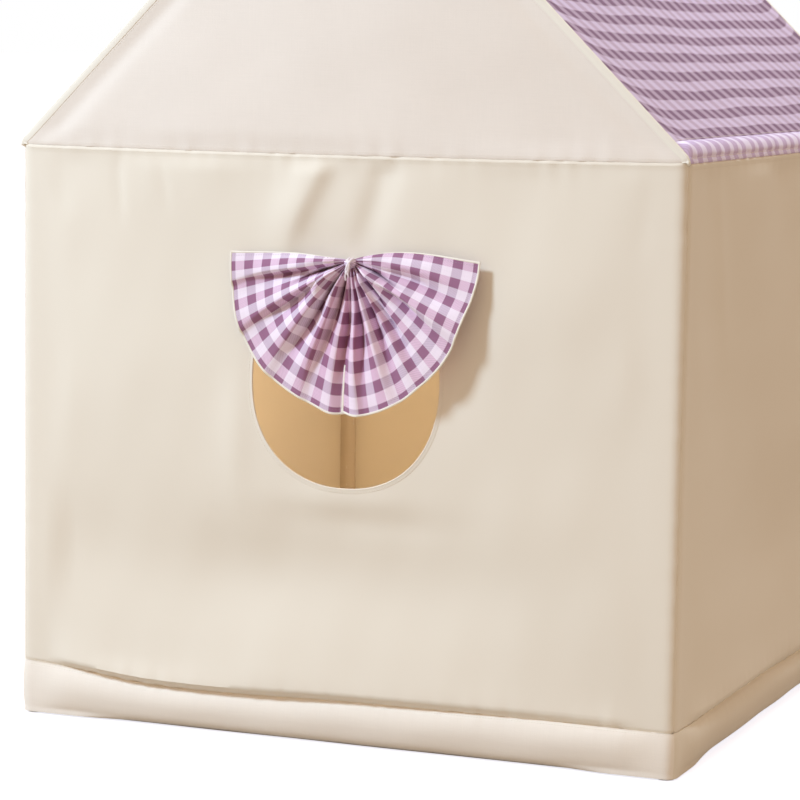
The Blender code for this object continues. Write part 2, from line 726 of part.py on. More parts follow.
def make_window_curtain():
    """The curtain hinges where it is sewn on, so its origin is on that line."""
    lobes = []
    for side in (-1, 1):
        mesh = draped_mesh(
            "lobe", LOBE_COLUMNS, LOBE_ROWS, lambda u, v: lobe_point(side, u, v), ALONG_Y * CURTAIN_CLOTH
        )
        lobes.append(add_helper("lobe", mesh))
    core = cylinder("core", KNOT_CORE_RADIUS, -KNOT_CORE_HALF, KNOT_CORE_HALF, ALONG_X)
    core.data.transform(Matrix.Translation((0.0, -TIE_REACH, -TIE_REACH)))
    mesh = fused_mesh("window_curtain", core, lobes, ())
    place = (CURTAIN_X, -TENT_LENGTH / 2, CURTAIN_HEIGHT + TIE_REACH)
    add_part("window_curtain", mesh, LILAC, 0.85, location=place)
    ring = bmesh.new()
    bmesh.ops.create_circle(ring, segments=TIE_SIDES, radius=TIE_THICKNESS)
    mesh = to_mesh(ring, "curtain_tie")
    reach = KNOT_CORE_RADIUS + SEAM_GAP + TIE_THICKNESS
    mesh.transform(Matrix.Translation((reach, 0.0, 0.0)) @ Matrix.Rotation(math.pi / 2, 4, "X"))
    tie = add_part("curtain_tie", mesh, CREAM_TAPE, 0.75, rotation=ALONG_X.to_track_quat("Z", "Y"))
    tie.location = Vector(place) - (ALONG_Y + UP) * TIE_REACH
    add_screw(tie, TIE_STEPS)


def curtain_height(v):
    """The height of a row of the door curtain; two rows fall on the edges of the tied neck."""
    neck_top = TIEBACK_HEIGHT + TIEBACK_BAND / 2 + TIEBACK_CLOTH
    neck_foot = TIEBACK_HEIGHT - TIEBACK_BAND / 2 - TIEBACK_CLOTH
    row = v * (ROWS_ABOVE_TIE + 1 + ROWS_BELOW_TIE)
    if row <= ROWS_ABOVE_TIE:
        share = row / ROWS_ABOVE_TIE
        return DOOR_CURTAIN_TOP + (neck_top - DOOR_CURTAIN_TOP) * share, ease(share), 0.0
    if row <= ROWS_ABOVE_TIE + 1:
        return neck_top + (neck_foot - neck_top) * (row - ROWS_ABOVE_TIE), 1.0, 0.0
    share = (row - ROWS_ABOVE_TIE - 1) / ROWS_BELOW_TIE
    return neck_foot + (DOOR_CURTAIN_FOOT - neck_foot) * share, 1.0, ease(share)


def door_curtain_point(side, u, v):
    """A point of a door curtain's outer face, measured from its sewn top edge, with -Y into the tent."""
    height, gathered, spread = curtain_height(v)
    top_centre = (DOOR_CURTAIN_INNER + DOOR_CURTAIN_OUTER) / 2
    top_half = (DOOR_CURTAIN_OUTER - DOOR_CURTAIN_INNER) / 2
    centre = top_centre + (TIEBACK_X - top_centre) * gathered
    half = top_half + (BUNCH_HALF_WIDTH - top_half) * gathered
    half += (SKIRT_HALF_WIDTH - BUNCH_HALF_WIDTH) * spread
    depth = BUNCH_HALF_DEPTH * gathered + (SKIRT_HALF_DEPTH - BUNCH_HALF_DEPTH) * spread
    across = 2 * u - 1
    fold = depth * math.sqrt(max(0.0, 1 - across * across)) * math.sin(2 * math.pi * DOOR_CURTAIN_FOLDS * u)
    inward = SEAM_GAP + (BUNCH_SEAT - SEAM_GAP) * ease(min(1.0, v / SEAT_SHARE))
    return Vector((side * (centre + half * across), -inward + fold, height - DOOR_CURTAIN_TOP))


def make_door_curtains():
    """Each one hinges on its sewn top edge, so its origin is on that line."""
    columns = 4 * DOOR_CURTAIN_FOLDS
    inside = TENT_LENGTH / 2 - CLOTH
    for side, word in ((-1, "left"), (1, "right")):
        mesh = draped_mesh(
            f"door_curtain_{word}",
            columns,
            ROWS_ABOVE_TIE + 1 + ROWS_BELOW_TIE,
            lambda u, v: door_curtain_point(side, u, v),
            ALONG_Y * -DOOR_CURTAIN_CLOTH,
        )
        place = (0.0, inside, DOOR_CURTAIN_TOP)
        add_part(f"door_curtain_{word}", mesh, LILAC, 0.85, location=place)


def make_tiebacks():
    """A band round each gathered curtain, with a tab that closes on a press stud on the wall."""
    inside = TENT_LENGTH / 2 - CLOTH
    centre = BUNCH_SEAT + DOOR_CURTAIN_CLOTH / 2
    half_width = BUNCH_HALF_WIDTH + BUNCH_EASE + TIEBACK_CLOTH / 2
    half_depth = centre - TAPE_PROUD - SEAM_GAP - TIEBACK_CLOTH / 2
    tab_inward = STUD_HEIGHT + SEAM_GAP + TIEBACK_CLOTH / 2
    tab_start = half_width * math.sqrt(1 - ((centre - tab_inward) / half_depth) ** 2)
    for side, word in ((-1, "left"), (1, "right")):
        bm = bmesh.new()
        bmesh.ops.create_circle(bm, segments=TIEBACK_STEPS, radius=1.0)
        bmesh.ops.scale(bm, verts=bm.verts[:], vec=(half_width, half_depth, 1.0))
        raised = bmesh.ops.extrude_edge_only(bm, edges=bm.edges[:])
        moved = [item for item in raised["geom"] if isinstance(item, bmesh.types.BMVert)]
        bmesh.ops.translate(bm, verts=moved, vec=UP * TIEBACK_BAND)
        bmesh.ops.translate(bm, verts=bm.verts[:], vec=-UP * TIEBACK_BAND / 2)
        bmesh.ops.recalc_face_normals(bm, faces=bm.faces[:])
        band = add_helper("band", to_mesh(bm, "band"))
        thick = band.modifiers.new("cloth", "SOLIDIFY")
        thick.thickness = TIEBACK_CLOTH
        thick.offset = 0.0
        thick.use_even_offset = True
        bm = bmesh.new()
        bmesh.ops.create_cube(bm, size=1.0)
        bmesh.ops.scale(bm, verts=bm.verts[:], vec=(TAB_LENGTH, TIEBACK_CLOTH, TIEBACK_BAND - 2 * CLOTH))
        place = (side * (tab_start + TAB_LENGTH / 2), centre - tab_inward, 0.0)
        bmesh.ops.translate(bm, verts=bm.verts[:], vec=place)
        mesh = fused_mesh(f"door_tieback_{word}", band, [add_helper("tab", to_mesh(bm, "tab"))], ())
        place = (side * TIEBACK_X, inside - centre, TIEBACK_HEIGHT)
        add_part(f"door_tieback_{word}", mesh, CREAM_TAPE, 0.8, location=place)
        stud_x = side * (TIEBACK_X + tab_start + TAB_LENGTH - STUD_RADIUS - TIEBACK_CLOTH)
        add_stud(f"door_stud_{word}", (stud_x, inside - SEAM_GAP, TIEBACK_HEIGHT))


def add_stud(name, place):
    """A press stud turned about its own axis, flat on the inside of the wall."""
    height = STUD_HEIGHT - SEAM_GAP
    points = (
        (0.0, height),
        (STUD_RADIUS - height, height),
        (STUD_RADIUS, height / 2),
        (STUD_RADIUS, 0.0),
        (0.0, 0.0),
    )
    aim = (-ALONG_Y).to_track_quat("Z", "Y")
    stud = add_part(name, profile_mesh(name, points, cyclic=False), CONNECTOR_WHITE, 0.3, place, aim)
    add_screw(stud, STUD_SIDES)


make_poles()
make_connectors()
make_walls()
make_hems()
make_roof()
make_bindings()
make_window_curtain()
make_door_curtains()
make_tiebacks()
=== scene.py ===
"""Kids play tent, dressed for the photograph.

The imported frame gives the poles, the connectors and every place.  Each cloth is drawn flat, as it is
cut, in metres along and up the panel, and is then hung on the frame point by point.  Tapes and
stitches are drawn on the same flat cloth, so they follow its folds.
"""

import math
from functools import partial

import bpy
import numpy as np
from bpy.props import FloatProperty, FloatVectorProperty, PointerProperty
from mathutils import Matrix, Vector


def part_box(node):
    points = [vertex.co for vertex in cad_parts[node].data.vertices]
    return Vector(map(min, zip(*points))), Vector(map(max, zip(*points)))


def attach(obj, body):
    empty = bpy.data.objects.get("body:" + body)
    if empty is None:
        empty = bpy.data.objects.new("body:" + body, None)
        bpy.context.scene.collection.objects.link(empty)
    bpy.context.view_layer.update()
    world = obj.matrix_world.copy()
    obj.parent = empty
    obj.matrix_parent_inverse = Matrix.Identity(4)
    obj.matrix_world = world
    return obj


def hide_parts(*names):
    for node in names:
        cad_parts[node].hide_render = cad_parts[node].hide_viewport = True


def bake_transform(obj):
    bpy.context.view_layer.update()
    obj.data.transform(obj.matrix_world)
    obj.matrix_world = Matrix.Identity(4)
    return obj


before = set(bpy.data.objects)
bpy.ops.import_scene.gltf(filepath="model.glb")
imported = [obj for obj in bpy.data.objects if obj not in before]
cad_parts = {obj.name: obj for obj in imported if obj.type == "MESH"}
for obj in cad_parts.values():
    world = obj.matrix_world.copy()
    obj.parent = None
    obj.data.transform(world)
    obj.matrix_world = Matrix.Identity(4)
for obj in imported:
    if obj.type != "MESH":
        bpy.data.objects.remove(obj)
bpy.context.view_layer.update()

bl_info = {
    "name": "Kids play tent",
    "version": (1, 0, 0),
    "blender": (4, 5, 0),
    "location": "View3D > Sidebar > Play tent",
    "description": "Dresses the packed play tent frame in cloth, piece by piece",
    "category": "Object",
}


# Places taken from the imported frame.


def middle(node):
    low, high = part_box(node)
    return (low + high) / 2


WALL_LOW, WALL_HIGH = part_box("window_wall")
FRONT, BACK = WALL_LOW.y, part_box("door_wall")[1].y
CENTRE_Y, HALF_LENGTH = (FRONT + BACK) / 2, (BACK - FRONT) / 2
HALF_WIDTH = WALL_HIGH.x
POST_X = middle("post_window_right").x
INSET = HALF_WIDTH - POST_X
POST_Y = HALF_LENGTH - INSET
EAVE = middle("gable_rail_window").z
RIDGE_POLE = middle("ridge_pole_plug").z
RAIL_HEIGHT = middle("base_rail_window").z
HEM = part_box("window_hem")[1].z
SLEEVE_TOP = HEM - INSET / 2
ROOF_ANGLE = math.atan2(RIDGE_POLE - EAVE, POST_X)
RAFTER = math.hypot(RIDGE_POLE - EAVE, POST_X)
SLOPE_START = INSET * (math.pi / 2 - ROOF_ANGLE)
SLOPE = SLOPE_START + RAFTER + INSET * ROOF_ANGLE
WINDOW_MIDDLE = middle("window_binding")
KNOT = middle("curtain_tie")
POLE_LOW, POLE_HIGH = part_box("post_window_left")
POLE_RADIUS = (POLE_HIGH.x - POLE_LOW.x) / 2

CLOTH = 0.0016
CURTAIN_CLOTH = 0.0011
GAP = 0.0003
PIPING = 0.0023
PIPING_BAND = 2 * PIPING + GAP
EDGE = 0.0045  # From a panel's edge to its row of stitches.
CORNER_TURN = INSET * math.pi / 2
SEAM_TURN, SEAM_RISE = math.radians(52), math.radians(10)  # The corner seam's turn round its post.


def length(name, description, default):
    return FloatProperty(name=name, description=description, default=default, unit="LENGTH")


class TentSizes(bpy.types.PropertyGroup):
    """Sizes of the cloth and its trimmings"""

    window_half_width: length("Window half width", "Half the window's cut width", 0.142)
    window_half_height: length("Window half height", "Half the window's cut height", 0.150)
    window_squareness: FloatProperty(
        name="Window squareness", description="2 is an ellipse, more is squarer", default=2.2
    )
    door_half_width: length("Doorway half width", "Half the doorway's cut width", 0.250)
    door_spring: length("Doorway spring", "Height where the doorway's arch starts", 0.500)
    tape_width: length("Tape width", "Width of the binding tape on each side", 0.0062)
    grid: length("Cloth grid", "Spacing of the cloth's points away from its seams", 0.0055)
    stitch_pitch: length("Stitch pitch", "Distance from one stitch to the next", 0.0042)
    stitch_length: length("Stitch length", "Thread that shows in one stitch", 0.0030)
    thread_radius: length("Thread radius", "Half the thread's thickness", 0.00032)
    roof_check: length("Roof check", "Repeat of the roof's gingham", 0.0373)
    curtain_check: length("Curtain check", "Repeat of the curtains' gingham", 0.0318)
    lobe_reach: length("Curtain reach", "Knot to hem of the window curtain", 0.200)
    rim_stand: length("Hem stand", "How far the window curtain's hem stands off the wall", 0.030)


def colour(name, description, *default):
    return FloatVectorProperty(
        name=name, description=description, subtype="COLOR", size=3, min=0.0, max=1.0, default=default
    )


class TentColours(bpy.types.PropertyGroup):
    """Colours of the cloths, threads and plastics"""

    canvas: colour("Canvas", "Walls and side hems", 0.840, 0.764, 0.708)
    # Painted light: the gables take a lighter copy of the canvas.
    gable: colour("Gable", "The two gables", 0.886, 0.812, 0.752)
    # Painted light: the end hems take a lighter copy of the canvas.
    hem: colour("Hem", "The hems of the two ends", 0.950, 0.880, 0.806)
    tape: colour("Tape", "Binding tape and piping", 0.895, 0.822, 0.752)
    thread: colour("Thread", "Topstitching", 0.800, 0.735, 0.640)
    gingham_light: colour("Gingham light", "Undyed squares", 0.940, 0.825, 0.955)
    gingham_pink: colour("Gingham pink", "Half dyed squares, dyed yarn up", 0.780, 0.560, 0.730)
    gingham_grey: colour("Gingham grey", "Half dyed squares, dyed yarn across", 0.680, 0.545, 0.690)
    gingham_dark: colour("Gingham dark", "Full dyed squares", 0.345, 0.160, 0.275)
    # Painted shade: the next two colours darken the window curtain's gingham deep between its folds and in the
    # crowded folds at its slit.
    gingham_deep: colour("Gingham shade", "Tint deep between the curtain's folds", 0.300, 0.150, 0.210)
    gingham_inner: colour("Gingham inner", "Tint of the folds at the curtain's slit", 0.925, 0.805, 0.835)
    roof_light: colour("Roof light", "Undyed squares of the roof", 0.690, 0.575, 0.780)
    roof_pink: colour("Roof pink", "Half dyed squares of the roof, dyed yarn up", 0.560, 0.425, 0.590)
    roof_grey: colour("Roof grey", "Half dyed squares of the roof, dyed yarn across", 0.490, 0.370, 0.510)
    roof_dark: colour("Roof dark", "Full dyed squares of the roof", 0.240, 0.135, 0.230)
    # Painted light: the eave's roll and bias tape take lighter copies of the roof's gingham colours.
    eave_light: colour("Eave light", "Light stripes of the eave", 0.860, 0.770, 0.980)
    eave_mid: colour("Eave mid", "Darker stripes of the eave", 0.640, 0.500, 0.740)
    # Painted shade: the sleeve is a darker copy of the canvas, where the post stops light coming through the
    # cloth.
    sleeve: colour("Sleeve", "The doubled cloth that holds a corner post", 0.660, 0.560, 0.460)
    tie: colour("Tie", "The cord round the window curtain's gathers", 0.860, 0.775, 0.830)
    seam: colour("Curtain seam", "Stitching of the curtains' hems", 0.400, 0.300, 0.400)
    pole: colour("Pole", "Pole plastic", 0.860, 0.860, 0.840)
    connector: colour("Connector", "Connector plastic", 0.780, 0.770, 0.740)


def sizes():
    return bpy.context.scene.tent_sizes


# Meshes.


def select_only(piece):
    bpy.ops.object.select_all(action="DESELECT")
    piece.select_set(True)
    bpy.context.view_layer.objects.active = piece


def points_of(piece):
    points = np.empty(len(piece.data.vertices) * 3)
    piece.data.vertices.foreach_get("co", points)
    return points.reshape(-1, 3)


def set_points(piece, points):
    piece.data.vertices.foreach_set("co", np.asarray(points, float).ravel())
    piece.data.update()


def apply_all(piece):
    select_only(piece)
    for modifier in list(piece.modifiers):
        bpy.ops.object.modifier_apply(modifier=modifier.name)


def thicken(piece, thickness, offset=-1.0):
    solid = piece.modifiers.new("thickness", "SOLIDIFY")
    solid.thickness, solid.offset = thickness, offset
    apply_all(piece)


def face_outwards(piece):
    select_only(piece)
    bpy.ops.object.mode_set(mode="EDIT")
    bpy.ops.mesh.select_all(action="SELECT")
    bpy.ops.mesh.normals_make_consistent(inside=False)
    bpy.ops.object.mode_set(mode="OBJECT")


def mirror(piece, axis):
    points = points_of(piece)
    points[:, axis] *= -1
    set_points(piece, points)
    face_outwards(piece)


def smooth(piece, angle=50):
    select_only(piece)
    bpy.ops.object.shade_smooth_by_angle(angle=math.radians(angle))


def primitive(name, add, **shape):
    """A piece from one of Blender's own primitives."""
    add(**shape)
    piece = bpy.context.object
    piece.name = piece.data.name = name
    return piece


def mesh_piece(name, points, faces):
    mesh = bpy.data.meshes.new(name)
    mesh.from_pydata([tuple(point) for point in points], [], faces)
    mesh.update()
    piece = bpy.data.objects.new(name, mesh)
    bpy.context.scene.collection.objects.link(piece)
    face_outwards(piece)
    return piece


def ring_faces(rows, wide, closed=False, capped=True):
    """Faces between neighbouring rings of points, and one over each open end."""
    faces = []
    for row in range(rows if closed else rows - 1):
        here, there = row * wide, (row + 1) % rows * wide
        for step in range(wide):
            after = (step + 1) % wide
            faces.append((here + step, here + after, there + after, there + step))
    if capped and not closed:
        faces.append(tuple(range(wide))[::-1])
        faces.append(tuple((rows - 1) * wide + step for step in range(wide)))
    return faces


def loft(name, rings, closed=False, capped=True):
    rows, wide, _ = rings.shape
    return mesh_piece(name, rings.reshape(-1, 3), ring_faces(rows, wide, closed, capped))


def sweep(path, across, depth, closed=False, plane=(0, 2)):
    """Rings along a path in a plane: across to its left in the plane, and depth out of the plane."""
    if closed:
        along = np.roll(path, -1, axis=0) - np.roll(path, 1, axis=0)
    else:
        along = np.gradient(path, axis=0)
    along = along / np.linalg.norm(along, axis=1, keepdims=True)
    left = np.stack([-along[:, 1], along[:, 0]], axis=1)
    rings = np.zeros((len(path), np.shape(across)[-1], 3))
    for column, axis in enumerate(plane):
        rings[:, :, axis] = path[:, None, column] + left[:, None, column] * across
    rings[:, :, 3 - sum(plane)] = depth
    return rings


def write_uv(piece, u, v, name="cloth"):
    layers = piece.data.uv_layers
    layer = layers.get(name) or layers.new(name=name)
    layer.data.foreach_set("uv", np.stack([u, v], axis=1).ravel())


def write_corner_uv(piece, u, v):
    """The same from one value for each point."""
    corner = np.empty(len(piece.data.loops), int)
    piece.data.loops.foreach_get("vertex_index", corner)
    write_uv(piece, u[corner], v[corner])


def read_uv(piece):
    uv = np.empty(len(piece.data.loops) * 2)
    piece.data.uv_layers["cloth"].data.foreach_get("uv", uv)
    return uv.reshape(-1, 2).T


def mark_flat(piece):
    """Keeps the flat cloth's coordinates, in metres, as its UV map."""
    layers = piece.data.uv_layers
    while layers:
        layers.remove(layers[0])
    x, _, z = points_of(piece).T
    write_corner_uv(piece, x, z)


# Flat cloth, and hanging it.

FINE_STEP, STEP_GROWTH = 0.0008, 1.35
OPENING_DEPTH = 0.05
SMALL = 2e-4


def ease(share):
    share = np.clip(share, 0.0, 1.0)
    return share * share * (3 - 2 * share)


def bump(at, spot, width):
    return np.exp(-(((at - spot) / width) ** 2))


def lines(low, high, step):
    """Grid lines from low to high, close together at the sewn edges."""
    steps, total, fine = [], 0.0, FINE_STEP
    while fine < step:
        steps.append(fine)
        total += fine
        fine *= STEP_GROWTH
    edge = [sum(steps[:count]) for count in range(len(steps))]
    inner = np.linspace(low + total, high - total, max(1, round((high - total - low - total) / step)) + 1)
    return np.array([low + off for off in edge] + list(inner) + [high - off for off in edge[::-1]])


def shares(reach, step):
    """Grid lines for a cloth whose cut stretches them, as shares of its reach to each side."""
    return lines(-reach, reach, step) / reach


def flat_cloth(name, across, up, thickness=CLOTH, cut=None):
    """A cloth laid flat on its grid lines: x along it, z up it, and y through its thickness.

    cut may move the flat points, for a cloth that isn't cut as a rectangle.
    """
    wide, tall = len(across) - 1, len(up) - 1
    piece = primitive(name, bpy.ops.mesh.primitive_grid_add, x_subdivisions=wide, y_subdivisions=tall, size=2)
    x, y, _ = points_of(piece).T
    along = across[np.rint((x + 1) / 2 * wide).astype(int)]
    height = up[np.rint((y + 1) / 2 * tall).astype(int)]
    if cut is not None:
        along, height = cut(along, height)
    set_points(piece, np.stack([along, np.zeros_like(along), height], axis=1))
    thicken(piece, thickness)
    return piece


def cut_opening(piece, outline):
    """Cuts an opening through the flat cloth, along an outline of (x, z) points."""
    cutter = primitive(
        "opening", bpy.ops.mesh.primitive_circle_add, vertices=len(outline), radius=1.0, fill_type="NGON"
    )
    set_points(cutter, np.insert(outline, 1, -OPENING_DEPTH, axis=1))
    thicken(cutter, 2 * OPENING_DEPTH, 0.0)
    points = points_of(cutter)
    points[:, 1] -= points[:, 1].mean()
    set_points(cutter, points)
    face_outwards(cutter)
    cut = piece.modifiers.new("opening", "BOOLEAN")
    cut.operation, cut.solver, cut.object = "DIFFERENCE", "EXACT", cutter
    apply_all(piece)
    bpy.data.objects.remove(cutter, do_unlink=True)


def face_normal(place, s, z):
    across = place(s + SMALL, z) - place(s - SMALL, z)
    normal = np.cross(across, place(s, z + SMALL) - place(s, z - SMALL))
    return normal / np.maximum(np.linalg.norm(normal, axis=1, keepdims=True), 1e-12)


def hang(piece, place, smooth_angle=50):
    """Moves a flat cloth to its place: place gives its face, and its thickness follows the face's normal."""
    mark_flat(piece)
    s, depth, z = points_of(piece).T
    set_points(piece, place(s, z) - face_normal(place, s, z) * depth[:, None])
    smooth(piece, smooth_angle)
    return piece


def half_turn(points):
    """The same points at the other end or side of the tent."""
    return np.stack([-points[:, 0], 2 * CENTRE_Y - points[:, 1], points[:, 2]], axis=1)


def turn_round(place, turned):
    return (lambda s, z: half_turn(place(s, z))) if turned else place


def level_line(low, high, height, count=240):
    return np.stack([np.linspace(low, high, count), np.full(count, height)], axis=1)


def upright_line(s, low, high, count):
    return np.stack([np.full(count, s), np.linspace(low, high, count)], axis=1)


def run_of(path):
    """How far along its path each point lies."""
    return np.concatenate([[0.0], np.cumsum(np.linalg.norm(np.diff(path, axis=0), axis=1))])


def spots_on(path, spots):
    """Points at distances along a path."""
    run = run_of(path)
    return np.stack([np.interp(spots, run, column) for column in path.T], axis=1)


def flat_tape(name, path, section, closed=False):
    """A band along a path of the flat cloth.

    Each section point is (how far to the left of the path, depth into the cloth).
    """
    across, depth = np.asarray(section, float).T
    return loft(name, sweep(path, across, depth, closed), closed)


def band_section(low, high, front, back, steps=4):
    """A rounded band between two distances across the path and two depths."""
    radius = min(high - low, back - front) / 2
    points = []
    for across, depth, start in (
        (high - radius, back - radius, 0),
        (low + radius, back - radius, 90),
        (low + radius, front + radius, 180),
        (high - radius, front + radius, 270),
    ):
        for step in range(steps + 1):
            angle = math.radians(start + 90 * step / steps)
            points.append((across + radius * math.cos(angle), depth + radius * math.sin(angle)))
    return points


BEAD, BEAD_STAND = 0.0017, 0.0002
BINDING_LIP = ((0.45, 0.00042), (0.80, 0.00030), (1.0, 0.0))  # Share of its width, and how far it stands.


def binding_section(outer):
    """A folded binding: a fat roll over the cut edge, thinning to a flat lip at outer on both faces."""
    way = math.copysign(1, outer)
    points = []
    for angle in np.radians(np.linspace(-115, 115, 11)):
        depth = CLOTH / 2 + (BEAD + BEAD_STAND) * math.sin(angle)
        points.append((-way * (BEAD * math.cos(angle) * 0.8), depth))
    points += [(outer * share, CLOTH + stand) for share, stand in BINDING_LIP]
    return points + [(outer * share, -stand) for share, stand in BINDING_LIP[::-1]]


# Rings of one stitch: how far along it, its girth, and how deep it dips into the cloth.
STITCH_RINGS = ((-0.5, 0.35, 0.9), (-0.3, 0.9, 0.1), (0.0, 1.0, -0.1), (0.3, 0.9, 0.1), (0.5, 0.35, 0.9))
STITCH_SIDES = 5
STITCH_SEAT = 0.15


def evenly(path, pitch, closed):
    """Points and directions every pitch along a line of (x, z) points."""
    if closed:
        path = np.vstack([path, path[:1]])
    total = run_of(path)[-1]
    count = max(1, int(total / pitch))
    spots = (np.arange(count) + 0.5) * total / count
    along = spots_on(path, spots + pitch / 4) - spots_on(path, spots - pitch / 4)
    return spots_on(path, spots), along / np.linalg.norm(along, axis=1, keepdims=True)


def flat_stitches(name, paths, depth, closed):
    """Short raised threads along lines of the flat cloth, each one dipping into it at both ends."""
    size, radius = sizes(), sizes().thread_radius
    turns = [2 * math.pi * side / STITCH_SIDES for side in range(STITCH_SIDES)]
    one = [
        (along * size.stitch_length, radius * (girth * math.cos(turn) + dip), radius * girth * math.sin(turn))
        for along, girth, dip in STITCH_RINGS
        for turn in turns
    ]
    along, out, aside = np.array(one).T
    spots, ways = zip(*(evenly(path, size.stitch_pitch, closed) for path in paths))
    (spot_x, spot_z), (way_x, way_z) = (np.concatenate(part).T[:, :, None] for part in (spots, ways))
    x = spot_x + way_x * along - way_z * aside
    z = spot_z + way_z * along + way_x * aside
    y = np.broadcast_to(out + depth + STITCH_SEAT * radius, x.shape)
    stitch = ring_faces(len(STITCH_RINGS), STITCH_SIDES)
    starts = range(0, x.size, len(one))
    faces = [tuple(start + corner for corner in face) for start in starts for face in stitch]
    return mesh_piece(name, np.stack([x, y, z], axis=2).reshape(-1, 3), faces)


def sew(name, paths, place, slot="canvas", body="tent", thread="thread", closed=False, depth=0.0, inside=False):
    """Topstitching along lines of a hung cloth, on its face or on its inside."""
    piece = flat_stitches(name, paths, depth, closed)
    if inside:
        mirror(piece, 1)
    return dress(hang(piece, place, 60), thread, body, slot)


# How the stretched cloths hang.


def fold(s, z, start, end, width, height, far_width=None):
    """A soft fold along a line of the cloth, which fades out at both ends.

    Seen from the start, width is its flank on the right and far_width its flank on the left.
    """
    run = np.subtract(end, start)
    size = math.hypot(*run)
    along = ((s - start[0]) * run[0] + (z - start[1]) * run[1]) / size**2
    off = ((s - start[0]) * run[1] - (z - start[1]) * run[0]) / size
    fade = ease((along + 0.15) / 0.3) * ease((1.15 - along) / 0.6)
    width = np.where(off > 0, width, far_width or width)
    return height * np.exp(-((off / width) ** 2)) * fade


def swell(s, z, centre, wide, tall, height):
    return height * np.exp(-(((s - centre[0]) / wide) ** 2) - ((z - centre[1]) / tall) ** 2)


def ripples(s, z, seed, size, height):
    """Gentle unevenness with no direction of its own."""
    source = np.random.RandomState(seed)
    total = np.zeros_like(s)
    for _ in range(9):
        way, phase = source.uniform(0, 2 * math.pi, 2)
        wave = 2 * math.pi / (size * source.uniform(0.7, 1.5))
        total += np.sin(wave * (s * math.cos(way) + z * math.sin(way)) + phase)
    return height * total / 3


def relief(s, z, shapes, seed, large, small):
    """The swells and folds of a table, over large and small ripples, each with its size and height."""
    total = ripples(s, z, seed, *large) + ripples(s, z, seed + 1, *small)
    for shape, *values in shapes:
        total += shape(s, z, *values)
    return total


def smooth_line(table, at):
    """A smooth curve through (position, value) points."""
    spot, value = np.array(table, float).T
    slope = np.gradient(value, spot)
    index = np.clip(np.searchsorted(spot, at) - 1, 0, len(spot) - 2)
    gap = spot[index + 1] - spot[index]
    share = np.clip((at - spot[index]) / gap, 0.0, 1.0)
    square, cube = share**2, share**3
    return (
        (2 * cube - 3 * square + 1) * value[index]
        + (cube - 2 * square + share) * gap * slope[index]
        + (3 * square - 2 * cube) * value[index + 1]
        + (cube - square) * gap * slope[index + 1]
    )


def puckers(s, distance, seed, pitch, height, reach):
    """The small gathers that a seam draws in the cloth beside it."""
    source = np.random.RandomState(seed)
    total = np.zeros_like(s)
    for _ in range(5):
        wave = 2 * math.pi / (pitch * source.uniform(0.7, 1.6))
        total += np.sin(wave * s + source.uniform(0, 2 * math.pi))
    return height * total / 2 * np.exp(-np.abs(distance) / reach)


def tucked(distance, drop=0.0011, reach=0.0016):
    """A sewn edge, which turns under at the seam."""
    return -drop * bump(distance, 0.0, reach)


def seam_line(s):
    """How far the eave seam strays from level: it sags between the posts and rises to each corner."""
    x = np.clip(np.abs(s) / HALF_WIDTH, 0.0, 1.0)
    return -0.0028 * (1 - x * x) + 0.0035 * bump((1 - x) * HALF_WIDTH, 0.0, 0.011)


def hem_line(s, is_end):
    """How far the hem seam strays from level, after the photograph."""
    x = s / HALF_WIDTH if is_end else -s * HALF_WIDTH / HALF_LENGTH / HALF_WIDTH
    x, phase = np.clip(x, -1.2, 1.2), 3 if is_end else 5
    dip = 0.0080 * bump(x, -0.36, 0.36)
    return 0.0120 * ease((-x - 0.55) / 0.45) - dip - 0.0010 * ease(x) + 0.0008 * np.sin(7 * x + phase)


def seam_reach(z, is_end):
    """How far the corner seam lies from the middle of an end, or of a side."""
    turn = SEAM_TURN + SEAM_RISE * ease((z - HEM) / (EAVE - HEM))
    return POST_X + INSET * turn if is_end else POST_Y + INSET * (math.pi / 2 - turn)


def wall_cut(is_end):
    """A wall's cloth reaches to the corner seam on both sides."""
    return lambda s, z: (s * seam_reach(z, is_end), z)


def plan(s, proud, is_end):
    """(x, y) of a wall pushed out by proud, at a distance s from the middle of the -Y end or the +X side."""
    half, away = (POST_X if is_end else POST_Y), np.abs(s)
    angle = np.clip((away - half) / INSET, 0.0, math.pi / 2)
    along = np.sign(s) * (np.minimum(away, half) + (INSET + proud) * np.sin(angle))
    out = (INSET + proud) * np.cos(angle)
    if is_end:
        return along, CENTRE_Y + (-POST_Y - out + np.maximum(away - half - CORNER_TURN, 0.0))
    return POST_X + out, CENTRE_Y + along


# The shapes of each wall: a swell has its centre, width, height and stand; a fold its start, end,
# width, stand and the width of its far flank.  Their places come from the photograph.
WINDOW_SHAPES = (
    (swell, (-0.12, 0.238), 0.38, 0.080, -0.0150),
    (fold, (-0.018, 0.842), (-0.092, 0.690), 0.036, 0.0092, 0.0190),
    (fold, (0.074, 0.842), (0.030, 0.690), 0.020, -0.0062, 0.0250),
    (fold, (-0.345, 0.832), (-0.335, 0.720), 0.012, -0.0016, 0.006),
    (fold, (-0.275, 0.832), (-0.262, 0.740), 0.012, -0.0013, 0.006),
    (fold, (-0.475, 0.825), (-0.425, 0.735), 0.010, -0.0030, 0.018),
    (fold, (0.475, 0.825), (0.440, 0.700), 0.018, -0.0022, 0.010),
    (swell, (0.012, 0.350), 0.095, 0.022, 0.0030),
    (swell, (0.060, 0.318), 0.120, 0.022, -0.0024),
    (swell, (-0.155, 0.430), 0.022, 0.100, 0.0026),
    (swell, (0.020, 0.700), 0.090, 0.030, -0.0030),
    (swell, (-0.340, 0.520), 0.120, 0.200, 0.0050),
    (swell, (0.330, 0.560), 0.130, 0.190, 0.0045),
)
